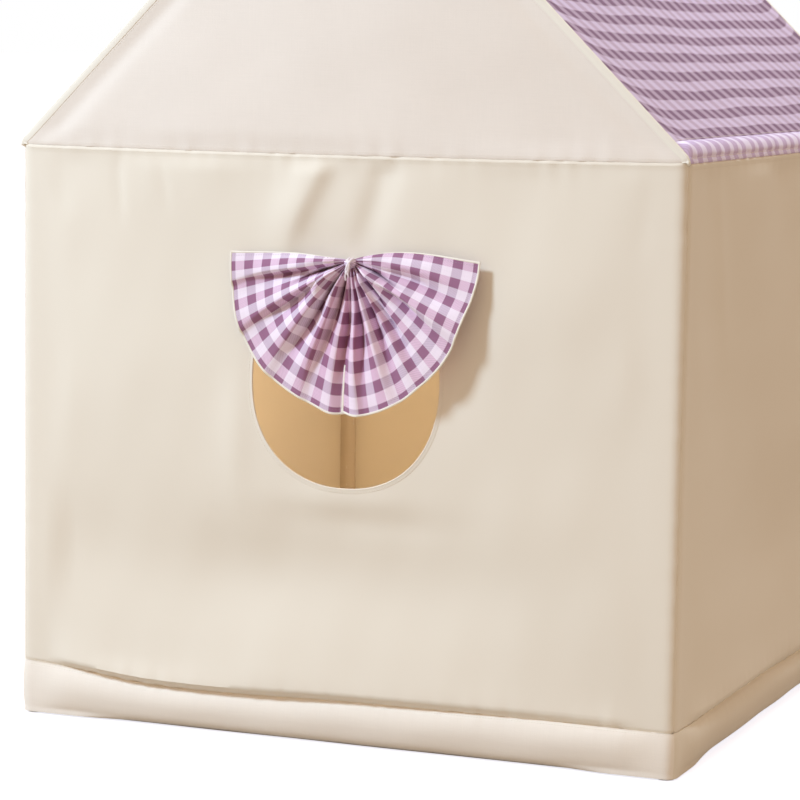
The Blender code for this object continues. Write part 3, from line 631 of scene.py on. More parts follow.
DOOR_SHAPES = (
    (swell, (-0.38, 0.45), 0.09, 0.20, 0.0040),
    (swell, (0.37, 0.50), 0.09, 0.20, 0.0040),
    (fold, (-0.03, 0.826), (-0.095, 0.745), 0.014, 0.0026),
    (fold, (0.05, 0.826), (0.105, 0.735), 0.014, 0.0026),
    (fold, (0.34, 0.830), (0.325, 0.70), 0.016, 0.0016),
    (fold, (-0.40, 0.826), (-0.36, 0.73), 0.015, -0.0016),
)
SIDE_SHAPES = (
    (swell, (0.0, 0.27), 0.45, 0.09, -0.0070),
    (fold, (-0.45, 0.80), (-0.40, 0.55), 0.025, 0.0024),
    (fold, (0.20, 0.82), (0.24, 0.60), 0.030, 0.0022),
)
WINDOW_RELIEF = WINDOW_SHAPES, 11, (0.30, 0.0022), (0.12, 0.0005)
DOOR_RELIEF = DOOR_SHAPES, 21, (0.31, 0.0016), (0.12, 0.00045)

# Where along a wall its slack bellies out over the hem, and how far.
WINDOW_BILLOW = (
    (-0.50, 0.002), (-0.44, 0.0080), (-0.36, 0.0145), (-0.24, 0.0158), (-0.08, 0.0142),
    (0.10, 0.0112), (0.30, 0.0070), (0.42, 0.0040), (0.50, 0.001),
)
DOOR_BILLOW = (
    (-0.50, 0.002), (-0.38, 0.011), (-0.26, 0.007), (-0.20, 0.0),
    (0.20, 0.0), (0.27, 0.007), (0.38, 0.012), (0.50, 0.002),
)
SIDE_BILLOW = (
    (-0.60, 0.002), (-0.48, 0.009), (-0.30, 0.0125), (-0.05, 0.0085), (0.22, 0.0120), (0.45, 0.0080),
    (0.60, 0.002),
)


def billow(s, above, heights):
    past = np.maximum(above - 0.0110, 0.0)
    belly = np.exp(-(past**2) / (past + 0.008) / 0.052)
    return smooth_line(heights, s) * ease((above + 0.0005) / 0.0130) * belly


def eave_welt(near_eave):
    """The low ridge where the eave's seam allowance lies behind the cloth."""
    return 0.0009 * bump(near_eave, 0.0042, 0.0026)


def end_wall_place(shapes, heights, seed):
    def place(s, z):
        fade = ease((POST_X - np.abs(s) - 0.022) / 0.05)
        near_eave, near_hem = EAVE - z, z - HEM
        own, top = relief(s, z, *shapes) * fade, ease(near_eave / 0.030)
        proud = own * top * ease((near_hem + 0.004) / 0.045)
        proud = np.where(near_eave < 0.030, own * (0.05 + 0.95 * top), proud)
        proud += billow(s, near_hem, heights) * fade + eave_welt(near_eave)
        proud += puckers(s, near_eave, seed, 0.034, 0.00055, 0.020) * fade
        proud += puckers(s, near_hem, seed + 1, 0.028, 0.00070, 0.018) * fade
        proud += tucked(near_eave, 0.0008) + tucked(near_hem, 0.0018, 0.0026)
        near_corner = seam_reach(z, True) - np.abs(s)
        proud += tucked(near_corner, 0.0021, 0.0019) + puckers(z, near_corner, seed + 2, 0.040, 0.00035, 0.010)
        height = z + seam_line(s) * ease(1 - near_eave / 0.10) + hem_line(s, True) * ease(1 - near_hem / 0.08)
        return np.stack([*plan(s, proud, True), height], axis=1)

    return place


def side_wall_place(seed):
    """The right side wall: s runs back from the middle of the tent."""

    def place(s, z):
        fade = ease((POST_Y - np.abs(s) - 0.022) / 0.06)
        near_eave, near_hem = EAVE - z, z - HEM
        proud = relief(s, z, SIDE_SHAPES, seed, (0.36, 0.0026), (0.14, 0.0005))
        proud *= fade * ease(near_eave / 0.03) * ease((near_hem + 0.004) / 0.045)
        proud += billow(s, near_hem, SIDE_BILLOW) * fade + eave_welt(near_eave)
        proud += puckers(s, near_eave, seed + 2, 0.036, 0.0005, 0.02) * fade
        proud += puckers(s, near_hem, seed + 3, 0.03, 0.0007, 0.018) * fade
        proud += tucked(near_eave) + tucked(near_hem)
        proud += tucked(seam_reach(z, False) - np.abs(s), 0.0021, 0.0019)
        height = z + hem_line(s, False) * 0.8 * ease(1 - near_hem / 0.08) * fade
        return np.stack([*plan(s, proud, False), height], axis=1)

    return place


# Materials.

WHITE = (1.0, 1.0, 1.0, 1.0)
CLOTH_BUMP, BUMP_PER_YARN = 0.35, 0.35
# Each plain cloth: its colour, its yarn in metres, how mottled it is and how uneven its yarns are.
PLAIN_CLOTHS = {
    "canvas": ("canvas", 0.0008, 0.05, 0.04),
    "gable_canvas": ("gable", 0.0008, 0.05, 0.04),
    "hem_canvas": ("hem", 0.0008, 0.05, 0.04),
    "sleeve_canvas": ("sleeve", 0.0008, 0.05, 0.04),
    "cream_tape": ("tape", 0.0006, 0.03, 0.05),
    "tie_cloth": ("tie", 0.0005, 0.03, 0.08),
    "thread": ("thread", 0.0004, 0.02, 0.10),
    "seam_thread": ("seam", 0.0004, 0.02, 0.10),
}
# Each gingham: its repeat and a share of it, its four colours, yarn, rise, turn, stretch and twill.
# The eave's stripes are the roof's gingham in lighter colours, which is painted light.
EAVE_COLOURS_PAINTED_LIGHT = ("eave_light", "eave_mid", "eave_light", "eave_mid")
CHECK_CLOTHS = {
    "curtain_gingham": (
        "curtain_check", 1.0, ("gingham_light", "gingham_pink", "gingham_grey", "gingham_dark"),
        0.0007, 0.0, 0, 1.0, 0.1,
    ),
    "roof_gingham": (
        "roof_check", 1.0, ("roof_light", "roof_pink", "roof_grey", "roof_dark"), 0.0008, -0.0367, 0, 0.86, 0.2
    ),
    "eave_gingham": ("roof_check", 1.0, EAVE_COLOURS_PAINTED_LIGHT, 0.0008, 0.0, 0, 0.86, 0.1),
    "bias_gingham": ("roof_check", 0.91, EAVE_COLOURS_PAINTED_LIGHT, 0.0008, 0.0, -38, 1.0, 0.1),
}


def rgba(colour):
    return (*colour, 1.0)


def feed(tree, socket, value):
    """Links another socket to this one, or gives it a value."""
    if isinstance(value, bpy.types.NodeSocket):
        tree.links.new(value, socket)
    else:
        socket.default_value = value


def add_node(tree, kind, group=None, **inputs):
    """A node with its inputs fed; an underscore stands for a space in their names."""
    made = tree.nodes.new("ShaderNode" + kind)
    if group:
        made.node_tree = group
    for name, value in inputs.items():
        feed(tree, made.inputs[name.replace("_", " ")], value)
    return made


def calculate(tree, operation, *inputs, clamp=False):
    made = tree.nodes.new("ShaderNodeMath")
    made.operation, made.use_clamp = operation, clamp
    for socket, value in zip(made.inputs, inputs):
        feed(tree, socket, value)
    return made.outputs[0]


def mix(tree, factor, first, second, blend="MIX"):
    made = tree.nodes.new("ShaderNodeMix")
    made.data_type, made.blend_type = "RGBA", blend
    for index, value in ((0, factor), (6, first), (7, second)):
        feed(tree, made.inputs[index], value)
    return made.outputs[2]


def shaded(tree, colour, value):
    """A colour made lighter or darker by a value."""
    grey = add_node(tree, "CombineColor", Red=value, Green=value, Blue=value)
    return mix(tree, 1.0, colour, grey.outputs[0], "MULTIPLY")


def noise(tree, vector, scale, detail, roughness=0.5, stretch=(1.0, 1.0, 1.0)):
    mapped = add_node(tree, "Mapping", Vector=vector, Scale=stretch).outputs[0]
    made = add_node(tree, "TexNoise", Vector=mapped, Scale=scale, Detail=detail, Roughness=roughness)
    return made.outputs["Fac"]


def uv_map(tree, name):
    made = add_node(tree, "UVMap")
    made.uv_map = name
    return made.outputs[0]


def new_group(name, outputs, **inputs):
    """A shared group: an input is a colour, a number, or a vector where it has no value of its own."""
    group = bpy.data.node_groups.new(name, "ShaderNodeTree")
    for label, default in inputs.items():
        kind = "Vector" if default is None else "Color" if default is WHITE else "Float"
        socket = group.interface.new_socket(
            name=label.replace("_", " "), in_out="INPUT", socket_type="NodeSocket" + kind
        )
        if default is not None:
            socket.default_value = default
    for label in outputs:
        kind = "Color" if label == "Colour" else "Float"
        group.interface.new_socket(name=label, in_out="OUTPUT", socket_type="NodeSocket" + kind)
    given, result = group.nodes.new("NodeGroupInput"), group.nodes.new("NodeGroupOutput")
    return group, partial(calculate, group), given.outputs, result.inputs


def plain_weave():
    """Crossing yarns of uneven thickness, and a cloth that is a little mottled."""
    group, do, given, result = new_group(
        "plain_weave", ("Colour", "Roughness", "Height"),
        Vector=None, Colour=WHITE, Yarn=0.0009, Mottle=0.05, Fuzz=0.04,
    )
    vector = given["Vector"]
    axes = add_node(group, "SeparateXYZ", Vector=vector).outputs
    turns = do("DIVIDE", math.pi, given["Yarn"])
    waver = do("MULTIPLY", noise(group, vector, 90.0, 2.0), 1.6)
    warp, weft = (do("SINE", do("ADD", do("MULTIPLY", axes[way], turns), waver)) for way in (0, 1))
    yarns = do("MULTIPLY", warp, weft)
    slubs = [noise(group, vector, 60.0, 2.0, stretch=long) for long in ((0.4, 12.0, 1.0), (12.0, 0.4, 1.0))]
    slubs = do("SUBTRACT", do("ADD", *slubs), 1.0)
    cloud = do("MULTIPLY", do("SUBTRACT", noise(group, vector, 9.0, 4.0, 0.6), 0.5), given["Mottle"])
    shade = do("ADD", do("ADD", cloud, do("MULTIPLY", slubs, given["Fuzz"])), 1.0)
    shade = do("MULTIPLY_ADD", yarns, 0.012, shade)
    feed(group, result["Colour"], shaded(group, given["Colour"], shade))
    feed(group, result["Roughness"], do("MULTIPLY_ADD", slubs, 0.06, 0.86, clamp=True))
    feed(group, result["Height"], do("MULTIPLY_ADD", slubs, 0.8, do("MULTIPLY", yarns, 0.5)))
    return group


def gingham():
    """Yarn-dyed check: dyed bands run both ways, and squares where one crosses undyed yarn are half dyed."""
    group, do, given, result = new_group(
        "gingham", ("Colour",), Vector=None, Repeat=0.032, Light=WHITE, Dyed_warp=WHITE, Dyed_weft=WHITE,
        Dark=WHITE, Twill=0.10,
    )
    axes = add_node(group, "SeparateXYZ", Vector=given["Vector"]).outputs
    bands = []
    for way in (0, 1):
        wave = do("SINE", do("MULTIPLY", do("DIVIDE", axes[way], given["Repeat"]), 2 * math.pi))
        bands.append(do("MULTIPLY_ADD", wave, 6.0, 0.5, clamp=True))
    both, either = do("MULTIPLY", *bands), do("MAXIMUM", *bands)
    colour = mix(group, bands[0], given["Light"], given["Dyed warp"])
    colour = mix(group, bands[1], colour, given["Dyed weft"])
    colour = mix(group, both, colour, given["Dark"])
    fine = do("SINE", do("MULTIPLY", do("ADD", axes[0], axes[1]), 2 * math.pi / 0.0034))
    hatch = do("MULTIPLY", do("MULTIPLY", fine, do("SUBTRACT", either, both)), given["Twill"])
    feed(group, result["Colour"], shaded(group, colour, do("ADD", hatch, 1.0)))
    return group


def moulded_skin():
    """Moulded plastic: faint flow marks, a fine skin and a few dull scuffs."""
    group, do, given, result = new_group(
        "moulded_skin", ("Colour", "Roughness", "Height"), Vector=None, Colour=WHITE, Gloss=0.35
    )
    flow = noise(group, given["Vector"], 22.0, 4.0, 0.65)
    scuff = do("MULTIPLY_ADD", noise(group, given["Vector"], 140.0, 5.0, 0.7), 6.0, -3.6, clamp=True)
    feed(group, result["Colour"], shaded(group, given["Colour"], do("MULTIPLY_ADD", flow, 0.06, 0.97)))
    dull = do("MULTIPLY_ADD", scuff, 0.22, given["Gloss"])
    feed(group, result["Roughness"], do("MULTIPLY_ADD", flow, 0.08, dull, clamp=True))
    feed(group, result["Height"], noise(group, given["Vector"], 900.0, 2.0))
    return group


def shared(make):
    """The node group that make builds, built once."""
    return bpy.data.node_groups.get(make.__name__) or make()


def new_material(name, colour):
    material = bpy.data.materials.new(name)
    material.use_nodes = True
    material.diffuse_color = rgba(colour)
    return material, material.node_tree, material.node_tree.nodes["Principled BSDF"]


def cover(tree, shader, skin, strength, distance, **values):
    """The shader takes its colour, roughness and bump from a group, and its other values as given."""
    raised = add_node(tree, "Bump", Strength=strength, Distance=distance, Height=skin.outputs["Height"])
    feed(tree, shader.inputs["Normal"], raised.outputs[0])
    feed(tree, shader.inputs["Base Color"], skin.outputs["Colour"])
    feed(tree, shader.inputs["Roughness"], skin.outputs["Roughness"])
    for name, value in values.items():
        shader.inputs[name.replace("_", " ")].default_value = value


def weave_on(tree, shader, yarn, **inputs):
    weave = add_node(tree, "Group", shared(plain_weave), Yarn=yarn, **inputs)
    cover(
        tree, shader, weave, CLOTH_BUMP, yarn * BUMP_PER_YARN,
        Specular_IOR_Level=0.25, Sheen_Weight=0.08, Sheen_Roughness=0.45,
    )


def plain_cloth(name):
    colour_name, yarn, mottle, fuzz = PLAIN_CLOTHS[name]
    dye = getattr(bpy.context.scene.tent_colours, colour_name)
    material, tree, shader = new_material(name, dye)
    weave_on(tree, shader, yarn, Vector=uv_map(tree, "cloth"), Colour=rgba(dye), Mottle=mottle, Fuzz=fuzz)
    return material


def check_cloth(name):
    repeat, share, colour_names, yarn, rise, turn, stretch, twill = CHECK_CLOTHS[name]
    colours = bpy.context.scene.tent_colours
    light, warp, weft, dark = (rgba(getattr(colours, colour_name)) for colour_name in colour_names)
    material, tree, shader = new_material(name, warp[:3])
    place = add_node(
        tree, "Mapping", Vector=uv_map(tree, "cloth"), Location=(0.0, rise, 0.0),
        Rotation=(0.0, 0.0, math.radians(turn)), Scale=(stretch, 1.0, 1.0),
    ).outputs[0]
    check = add_node(
        tree, "Group", shared(gingham), Vector=place, Repeat=getattr(sizes(), repeat) * share,
        Light=light, Dyed_warp=warp, Dyed_weft=weft, Dark=dark, Twill=twill,
    )
    weave_on(tree, shader, yarn, Vector=place, Colour=check.outputs["Colour"], Mottle=0.05, Fuzz=0.12)
    # The window curtain's gingham is darkened by painted shade between its folds and at its slit.
    if name == "curtain_gingham":
        tint_folds(tree, shader, (colours.gingham_deep, colours.gingham_inner))
    return material


def tint_folds(tree, shader, tints):
    """A second UV map says how much painted shade a spot of the curtain gets: one tint deep between its folds,
    another in the crowded folds at its slit.
    """
    cloth = shader.inputs["Base Color"].links[0].from_socket
    parts = add_node(tree, "SeparateXYZ", Vector=uv_map(tree, "shade")).outputs
    for way, tint in enumerate(tints):
        cloth = mix(tree, 1.0, cloth, mix(tree, parts[way], WHITE, rgba(tint)), "MULTIPLY")
    tree.links.new(cloth, shader.inputs["Base Color"])


def plastic(name, colour, gloss):
    material, tree, shader = new_material(name, colour)
    place = add_node(tree, "TexCoord").outputs["Object"]
    skin = add_node(tree, "Group", shared(moulded_skin), Vector=place, Colour=rgba(colour), Gloss=gloss)
    cover(tree, shader, skin, 0.12, 0.0002, IOR=1.49)
    return material


def finish(name):
    """The cloth of that name, made once."""
    return bpy.data.materials.get(name) or (plain_cloth if name in PLAIN_CLOTHS else check_cloth)(name)


SEWN_BAND = 0.0120


def hung_from(body, height):
    """The bodies and heights for a cloth sewn on along its top edge: the tent at that edge, and its own body
    just below.
    """
    return "tent", body, (0.0, 0.0, height), (0.0, 0.0, height - SEWN_BAND)


def dress(piece, cloth, body, slot, *nodes):
    """Give a piece its cloth; parent it to its body, or leave it fixed where it hangs when it is hung from more
    than one; and hide the CAD nodes that it stands for.
    """
    piece.data.materials.clear()
    piece.data.materials.append(finish(cloth))
    if isinstance(body, str):
        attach(piece, body)
    else:
        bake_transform(piece)
    if nodes:
        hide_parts(*nodes)
    return piece


# The pieces.

DOOR_STEPS = 90


def window_outline(count, grow=0.0):
    """(x, z) points round the window, widened by grow."""
    angle = np.linspace(0, 2 * math.pi, count, endpoint=False)
    way = np.stack([np.cos(angle), np.sin(angle)], axis=1)
    half = np.array([sizes().window_half_width, sizes().window_half_height]) + grow
    dense = np.sign(way) * half * np.abs(way) ** (2 / sizes().window_squareness)
    dense += [WINDOW_MIDDLE.x, WINDOW_MIDDLE.z]
    closed = np.vstack([dense, dense[:1]])
    return spots_on(closed, np.linspace(0, run_of(closed)[-1], count, endpoint=False))


def door_outline(foot, grow=0.0):
    """(x, z) points up one side of the doorway, over its arch and down to foot."""
    half, spring = sizes().door_half_width + grow, sizes().door_spring
    right = upright_line(half, foot, spring, DOOR_STEPS)[:-1]
    angle = np.linspace(0, math.pi, 2 * DOOR_STEPS)
    arch = np.stack([half * np.cos(angle), spring + half * np.sin(angle)], axis=1)
    return np.vstack([right, arch, (right * [-1, 1])[::-1]])


def corner_line(side, low, high):
    z = np.linspace(low, high, 120)
    return np.stack([side * (seam_reach(z, True) - EDGE), z], axis=1)


class TENT_OT_walls(bpy.types.Operator):
    """Cut, bind and hang the two end walls and the two side walls"""

    bl_idname = "tent.walls"
    bl_label = "Walls"

    def execute(self, context):
        self.end_wall("window", WINDOW_RELIEF, WINDOW_BILLOW, 31)
        self.end_wall("door", DOOR_RELIEF, DOOR_BILLOW, 41)
        self.side_wall("right", 51)
        self.side_wall("left", 61)
        return {"FINISHED"}

    def end_wall(self, end, shapes, heights, seed):
        size, window = sizes(), end == "window"
        reach, low, high = POST_X + INSET * (SEAM_TURN + SEAM_RISE), HEM + EDGE, EAVE - EDGE
        up = lines(HEM + GAP / 3, EAVE - GAP / 3, size.grid)
        cloth = flat_cloth(f"{end}_wall_cloth", shares(reach, size.grid), up, cut=wall_cut(True))
        inner_row = size.tape_width - 0.0016
        paths = [level_line(-POST_X, POST_X, high)]
        if window:
            cut, rim, lip = window_outline(200), window_outline(260), -1
            row = window_outline(260, inner_row)
            paths.append(level_line(-POST_X, POST_X, low))
        else:
            cut, rim, lip = door_outline(0.0), door_outline(HEM + GAP), 1
            row = door_outline(HEM + GAP, inner_row)
            half = size.door_half_width + size.tape_width
            paths += [level_line(-POST_X, -half, low, 80), level_line(half, POST_X, low, 80)]
        cut_opening(cloth, cut)
        place = turn_round(end_wall_place(shapes, heights, seed), not window)
        dress(hang(cloth, place), "canvas", "tent", "canvas", f"{end}_wall")
        tape = flat_tape(f"{end}_binding_tape", rim, binding_section(lip * size.tape_width), window)
        dress(hang(tape, place), "canvas", "tent", "cream_tape", f"{end}_binding")
        for word, depth, inside in (("", -0.0005, False), ("_inside", -(CLOTH + 0.0005), True)):
            name = f"{end}_binding_stitches{word}"
            sew(name, [row], place, "cream_tape", closed=window, depth=depth, inside=inside)
        paths += [corner_line(side, low, high) for side in (-1, 1)]
        sew(f"{end}_wall_stitches", paths, place)

    def side_wall(self, side, seed):
        reach = POST_Y + INSET * (math.pi / 2 - SEAM_TURN)
        up = lines(HEM + GAP, EAVE - GAP, sizes().grid)
        cloth = flat_cloth(f"{side}_wall_cloth", shares(reach, sizes().grid), up, cut=wall_cut(False))
        place = turn_round(side_wall_place(seed), side == "left")
        dress(hang(cloth, place), "canvas", "tent", "canvas", f"{side}_wall")
        paths = [level_line(-POST_Y, POST_Y, height) for height in (EAVE - 2 * EDGE, HEM + EDGE)]
        seams = sew(f"{side}_wall_stitches", paths, place)


# (height, inward) points of a hem, from its seam down over its bulge and in under the base rail.
HEM_CURVE = (
    (HEM - GAP / 3, 0.0010), (0.0605, -0.0036), (0.0520, -0.0070), (0.0430, -0.0084), (0.0340, -0.0080),
    (0.0250, -0.0062), (0.0165, -0.0036), (0.0095, -0.0002), (0.0050, 0.0042), (0.0024, 0.0105),
    (0.0018, 0.0175),
)
HEM_TALL = 0.066


def hem_profile():
    """(inward, height) points along that curve."""
    spot, at = np.arange(len(HEM_CURVE)), np.linspace(0, len(HEM_CURVE) - 1, 61)
    height, inward = (smooth_line(np.stack([spot, part], axis=1), at) for part in np.array(HEM_CURVE).T)
    return np.stack([inward, height], axis=1)


def sleeve_profile():
    """(inward, height) points of the sleeve behind the base rail, from the hem's seam down and in under it."""
    turns = np.radians(np.linspace(272, 350, 9))
    under = [(INSET * (1 + math.cos(turn)), RAIL_HEIGHT + INSET * math.sin(turn)) for turn in turns]
    return np.array(under + [(0.022, 0.036), (0.0060, SLEEVE_TOP), (0.0030, HEM - 0.0012)])[::-1]


def hem_place(profile, is_end, seed, squared=True):
    """A hem of the -Y end or the +X side, squared off over the connectors: z counts up from its lower edge."""
    total, half = run_of(profile)[-1], POST_X if is_end else POST_Y

    def place(s, z):
        inward, height = spots_on(profile, total - z).T
        rest = half - np.abs(s)
        fade, plump = ease(rest / 0.05), 0.25 + 0.75 * ease(rest / 0.07)
        seam = hem_line(s, is_end) * (1.0 if is_end else 0.8 * ease(rest / 0.06))
        proud = np.where(inward < 0, -inward * plump, -inward) + tucked(total - z, 0.0009)
        proud += ripples(s, z * 1.5, seed, 0.16, 0.0006) * fade
        proud += puckers(s, total - z, seed + 1, 0.026, 0.0005, 0.012) * fade
        covers = ease((0.190 - rest) / 0.120) * squared
        proud = np.where(proud < 0, proud * (1 - covers * ease((height - 0.0004) / 0.0018)), proud)
        upper = np.clip(z - (total - HEM_TALL), 0.0, 1.0) / HEM_TALL
        return np.stack([*plan(s, proud, is_end), height + seam * upper], axis=1)

    return place


class TENT_OT_hems(bpy.types.Operator):
    """Fold the four hems round the base rails, with a sleeve behind each rail"""

    bl_idname = "tent.hems"
    bl_label = "Hems"

    def execute(self, context):
        self.hem("window", True, False, 71)
        self.hem("door", True, True, 73)
        self.hem("right", False, False, 75)
        self.hem("left", False, True, 77)
        return {"FINISHED"}

    def hem(self, name, is_end, turned, seed):
        half = POST_X if is_end else POST_Y
        reach = half + INSET * (SEAM_TURN if is_end else math.pi / 2 - SEAM_TURN)
        front, back, inner = hem_profile(), sleeve_profile(), half - INSET - CLOTH
        tall, sleeve_tall = run_of(front)[-1], run_of(back)[-1]
        across = lines(-reach, reach, sizes().grid), lines(-inner, inner, 2 * sizes().grid)
        cloth = flat_cloth(f"{name}_hem_cloth", across[0], lines(0.0, tall, 0.003))
        sleeve = flat_cloth(f"{name}_hem_sleeve", across[1], lines(0.0, sleeve_tall, 0.004))
        place = turn_round(hem_place(front, is_end, seed), turned)
        back_place = turn_round(hem_place(back, is_end, seed + 1, squared=False), turned)
        # The end hems' lighter cloth is painted light.
        dress(hang(cloth, place), "hem_canvas" if is_end else "canvas", "tent", "canvas", f"{name}_hem")
        dress(hang(sleeve, back_place), "canvas", "tent", "canvas", f"{name}_hem")
        seams = sew(f"{name}_hem_stitches", [level_line(-half, half, tall - EDGE)], place)


ROOF_REACH = HALF_LENGTH - PIPING_BAND
TAPE_EDGE = INSET * math.radians(26)
ROLL_START, ROLL_FOOT, ROLL_TOP = 0.0065, 0.0068, 0.0360
PATTERN_RISE = 0.0367


def slope_section(distance, proud=0.0):
    """(x, z) of the right roof slope at a distance up from the eave, pushed out by proud."""
    lower = np.clip(distance / INSET, -0.6, math.pi / 2 - ROOF_ANGLE)
    upper = np.clip((distance - SLOPE_START - RAFTER) / INSET, 0.0, ROOF_ANGLE + 0.5)
    straight = np.clip(distance - SLOPE_START, 0.0, RAFTER)
    angle = lower + upper
    x = POST_X * (1 - straight / RAFTER) + (INSET + proud) * np.cos(angle)
    z = EAVE + (RIDGE_POLE - EAVE) * straight / RAFTER + (INSET + proud) * np.sin(angle)
    return x, z


def roof_place(seed):
    sag = ((swell, (0.0, 0.32), 0.55, 0.30, -0.0060),)

    def place(s, d):
        near_gable = ROOF_REACH - np.abs(s)
        proud = relief(s, d, sag, seed, (0.30, 0.0012), (0.11, 0.0004))
        proud *= ease(near_gable / 0.10) * ease((d - 0.02) / 0.08) * ease((SLOPE - d - 0.01) / 0.08)
        gathers = puckers(d, near_gable, seed + 2, 0.030, 0.0007, 0.018)
        proud += gathers * ease((d - 0.01) / 0.03) * ease((near_gable - 0.002) / 0.010)
        proud += tucked(near_gable, 0.0020, 0.0040) + puckers(s, d - 0.012, seed + 3, 0.032, 0.0010, 0.016)
        x, z = slope_section(d, proud)
        return np.stack([x, CENTRE_Y + s, z], axis=1)

    return place


def pull_pattern(cloth, side):
    """The check runs askew, and near a gable it is drawn up the slope, where the seam pulled the cloth."""
    u, v = read_uv(cloth)
    near = ROOF_REACH - np.abs(u)
    wave = 0.0010 * np.sin(u * 21 + v * 9) + 0.0008 * np.sin(v * 33 - u * 12)
    v = v - 0.020 * np.exp(-near / 0.040) + wave * ease(near / 0.08)
    askew = side * 0.42 * v + side * 0.16 * (v - 0.3) * np.exp(-near / 0.10)
    write_uv(cloth, u + 0.0030 * np.sin(v * 11 + u * 5) * ease(near / 0.08) + askew, v)


def stripe(roll):
    """Round the roll only the yarns that run up the slope show, as curved stripes."""
    u, v = read_uv(roll)
    share = (v - ROLL_FOOT) / (ROLL_TOP - ROLL_FOOT)
    write_uv(roll, u + 0.012 * share - 0.010 * np.sin(share * math.pi), PATTERN_RISE - 0.0075 + 0.004 * share)


def eave_roll_place(place):
    """The cloth rolled round the eave, on top of the roof's own face."""

    def rolled(s, d):
        share = np.clip((d - ROLL_START) / (ROLL_TOP - ROLL_START), 0.0, 1.0)
        near_gable = ROOF_REACH - np.abs(s)
        uneven = 1 + 0.10 * np.sin(s * 150 + 1.2 * share) + 0.06 * np.sin(s * 61)
        bulge = 0.0062 * np.sin(share * math.pi) ** 0.7 * uneven * ease(near_gable / 0.013) ** 0.7
        return place(s, d) + face_normal(place, s, d) * (0.0004 * ease(near_gable / 0.004) + bulge)[:, None]

    return rolled


class TENT_OT_roof(bpy.types.Operator):
    """Stretch the two gingham slopes over the rafters and bind their eaves"""

    bl_idname = "tent.roof"
    bl_label = "Roof"

    def execute(self, context):
        self.slope("right", 1, 81)
        self.slope("left", -1, 91)
        return {"FINISHED"}

    def slope(self, word, side, seed):
        place = turn_round(roof_place(seed), side < 0)
        across = lines(-ROOF_REACH, ROOF_REACH, sizes().grid)
        cloth = flat_cloth(f"roof_{word}_cloth", across, lines(TAPE_EDGE, SLOPE - GAP, sizes().grid))
        hang(cloth, place)
        pull_pattern(cloth, side)
        dress(cloth, "roof_gingham", "tent", "gingham", f"roof_{word}")
        roll = flat_cloth(f"eave_roll_{word}", across, np.linspace(ROLL_FOOT, ROLL_TOP, 15), thickness=0.0008)
        hang(roll, eave_roll_place(place))
        stripe(roll)
        # The roll and the bias tape are coloured lighter than the roof as painted light.
        dress(roll, "eave_gingham", "tent", "gingham")
        section = band_section(-0.0010, TAPE_EDGE + 0.0006, -0.0011, CLOTH)
        tape = flat_tape(f"eave_tape_{word}", level_line(-ROOF_REACH, ROOF_REACH, 0.0), section)
        dress(hang(tape, place), "bias_gingham", "tent", "gingham", f"eave_binding_{word}")
        heights = TAPE_EDGE - 0.0016, ROLL_TOP + 0.0024
        paths = [level_line(-ROOF_REACH, ROOF_REACH, height) for height in heights]
        seams = sew(f"roof_{word}_stitches", paths, place, depth=-0.0011)


GABLE_TOP = float(slope_section(SLOPE, -PIPING_BAND)[1] - 0.004)
PIPING_SIDES, PIPING_STEP = 12, 0.006


def gable_half(z):
    """Half the gable's width at a height: the roof's section, less the piping."""
    x, height = slope_section(np.linspace(0.0, SLOPE, 1200), -PIPING_BAND)
    return np.interp(z, height, x)


def gable_place(seed):
    slack = ((swell, (0.0, 0.98), 0.22, 0.12, 0.0030),)

    def place(s, z):
        near_slope, near_eave = (gable_half(z) - np.abs(s)) * math.sin(ROOF_ANGLE), z - EAVE
        proud = relief(s, z, slack, seed, (0.30, 0.0014), (0.12, 0.0004))
        proud *= ease(near_slope / 0.06) * ease(near_eave / 0.03)
        proud += puckers(s, near_eave, seed + 2, 0.036, 0.0005, 0.016) * ease(near_slope / 0.02)
        proud += tucked(near_eave, 0.0007) - 0.0002 * np.exp(-np.maximum(near_slope, 0.0) / 0.0030)
        proud -= 0.0026 * bump(near_slope, 0.024, 0.014) * ease(near_eave / 0.030)
        height = z + seam_line(s) * ease(1 - near_eave / 0.10)
        return np.stack([s, FRONT - proud, height], axis=1)

    return place


def over_ridge(right):
    """A line up the right slope, carried on down the left one."""
    return np.vstack([right, (right * [-1, 1])[::-1][1:]])


def piping_ring(name, turned):
    """A cord in a folded tape, run up one slope and down the other, with its ends turned in at the corners."""
    distance = np.concatenate([np.linspace(-0.0050, -0.0006, 9), lines(0.0, SLOPE, PIPING_STEP)])
    path = over_ridge(np.stack(slope_section(distance, -PIPING), axis=1))
    distance = np.concatenate([distance, distance[::-1][1:]])
    inward = 0.0050 * ease(-distance / 0.0050)
    doubled = 0.25 * ease(1 - distance / 0.0070) - 0.95 * ease((-distance - 0.0016) / 0.0034)
    radius = PIPING * (1 + 0.04 * np.sin(np.arange(len(path)) * 1.9) + doubled)[:, None]
    angle = np.linspace(0, 2 * math.pi, PIPING_SIDES, endpoint=False)
    depth = FRONT + PIPING + inward[:, None] + radius * np.sin(angle)
    rings = sweep(path, radius * np.cos(angle), depth)
    if turned:
        rings = half_turn(rings.reshape(-1, 3)).reshape(rings.shape)
    piece = loft(name, rings)
    run = np.repeat(np.arange(len(path)) * PIPING_STEP, PIPING_SIDES)
    write_corner_uv(piece, run, np.tile(angle * PIPING, len(path)))
    smooth(piece)
    return piece


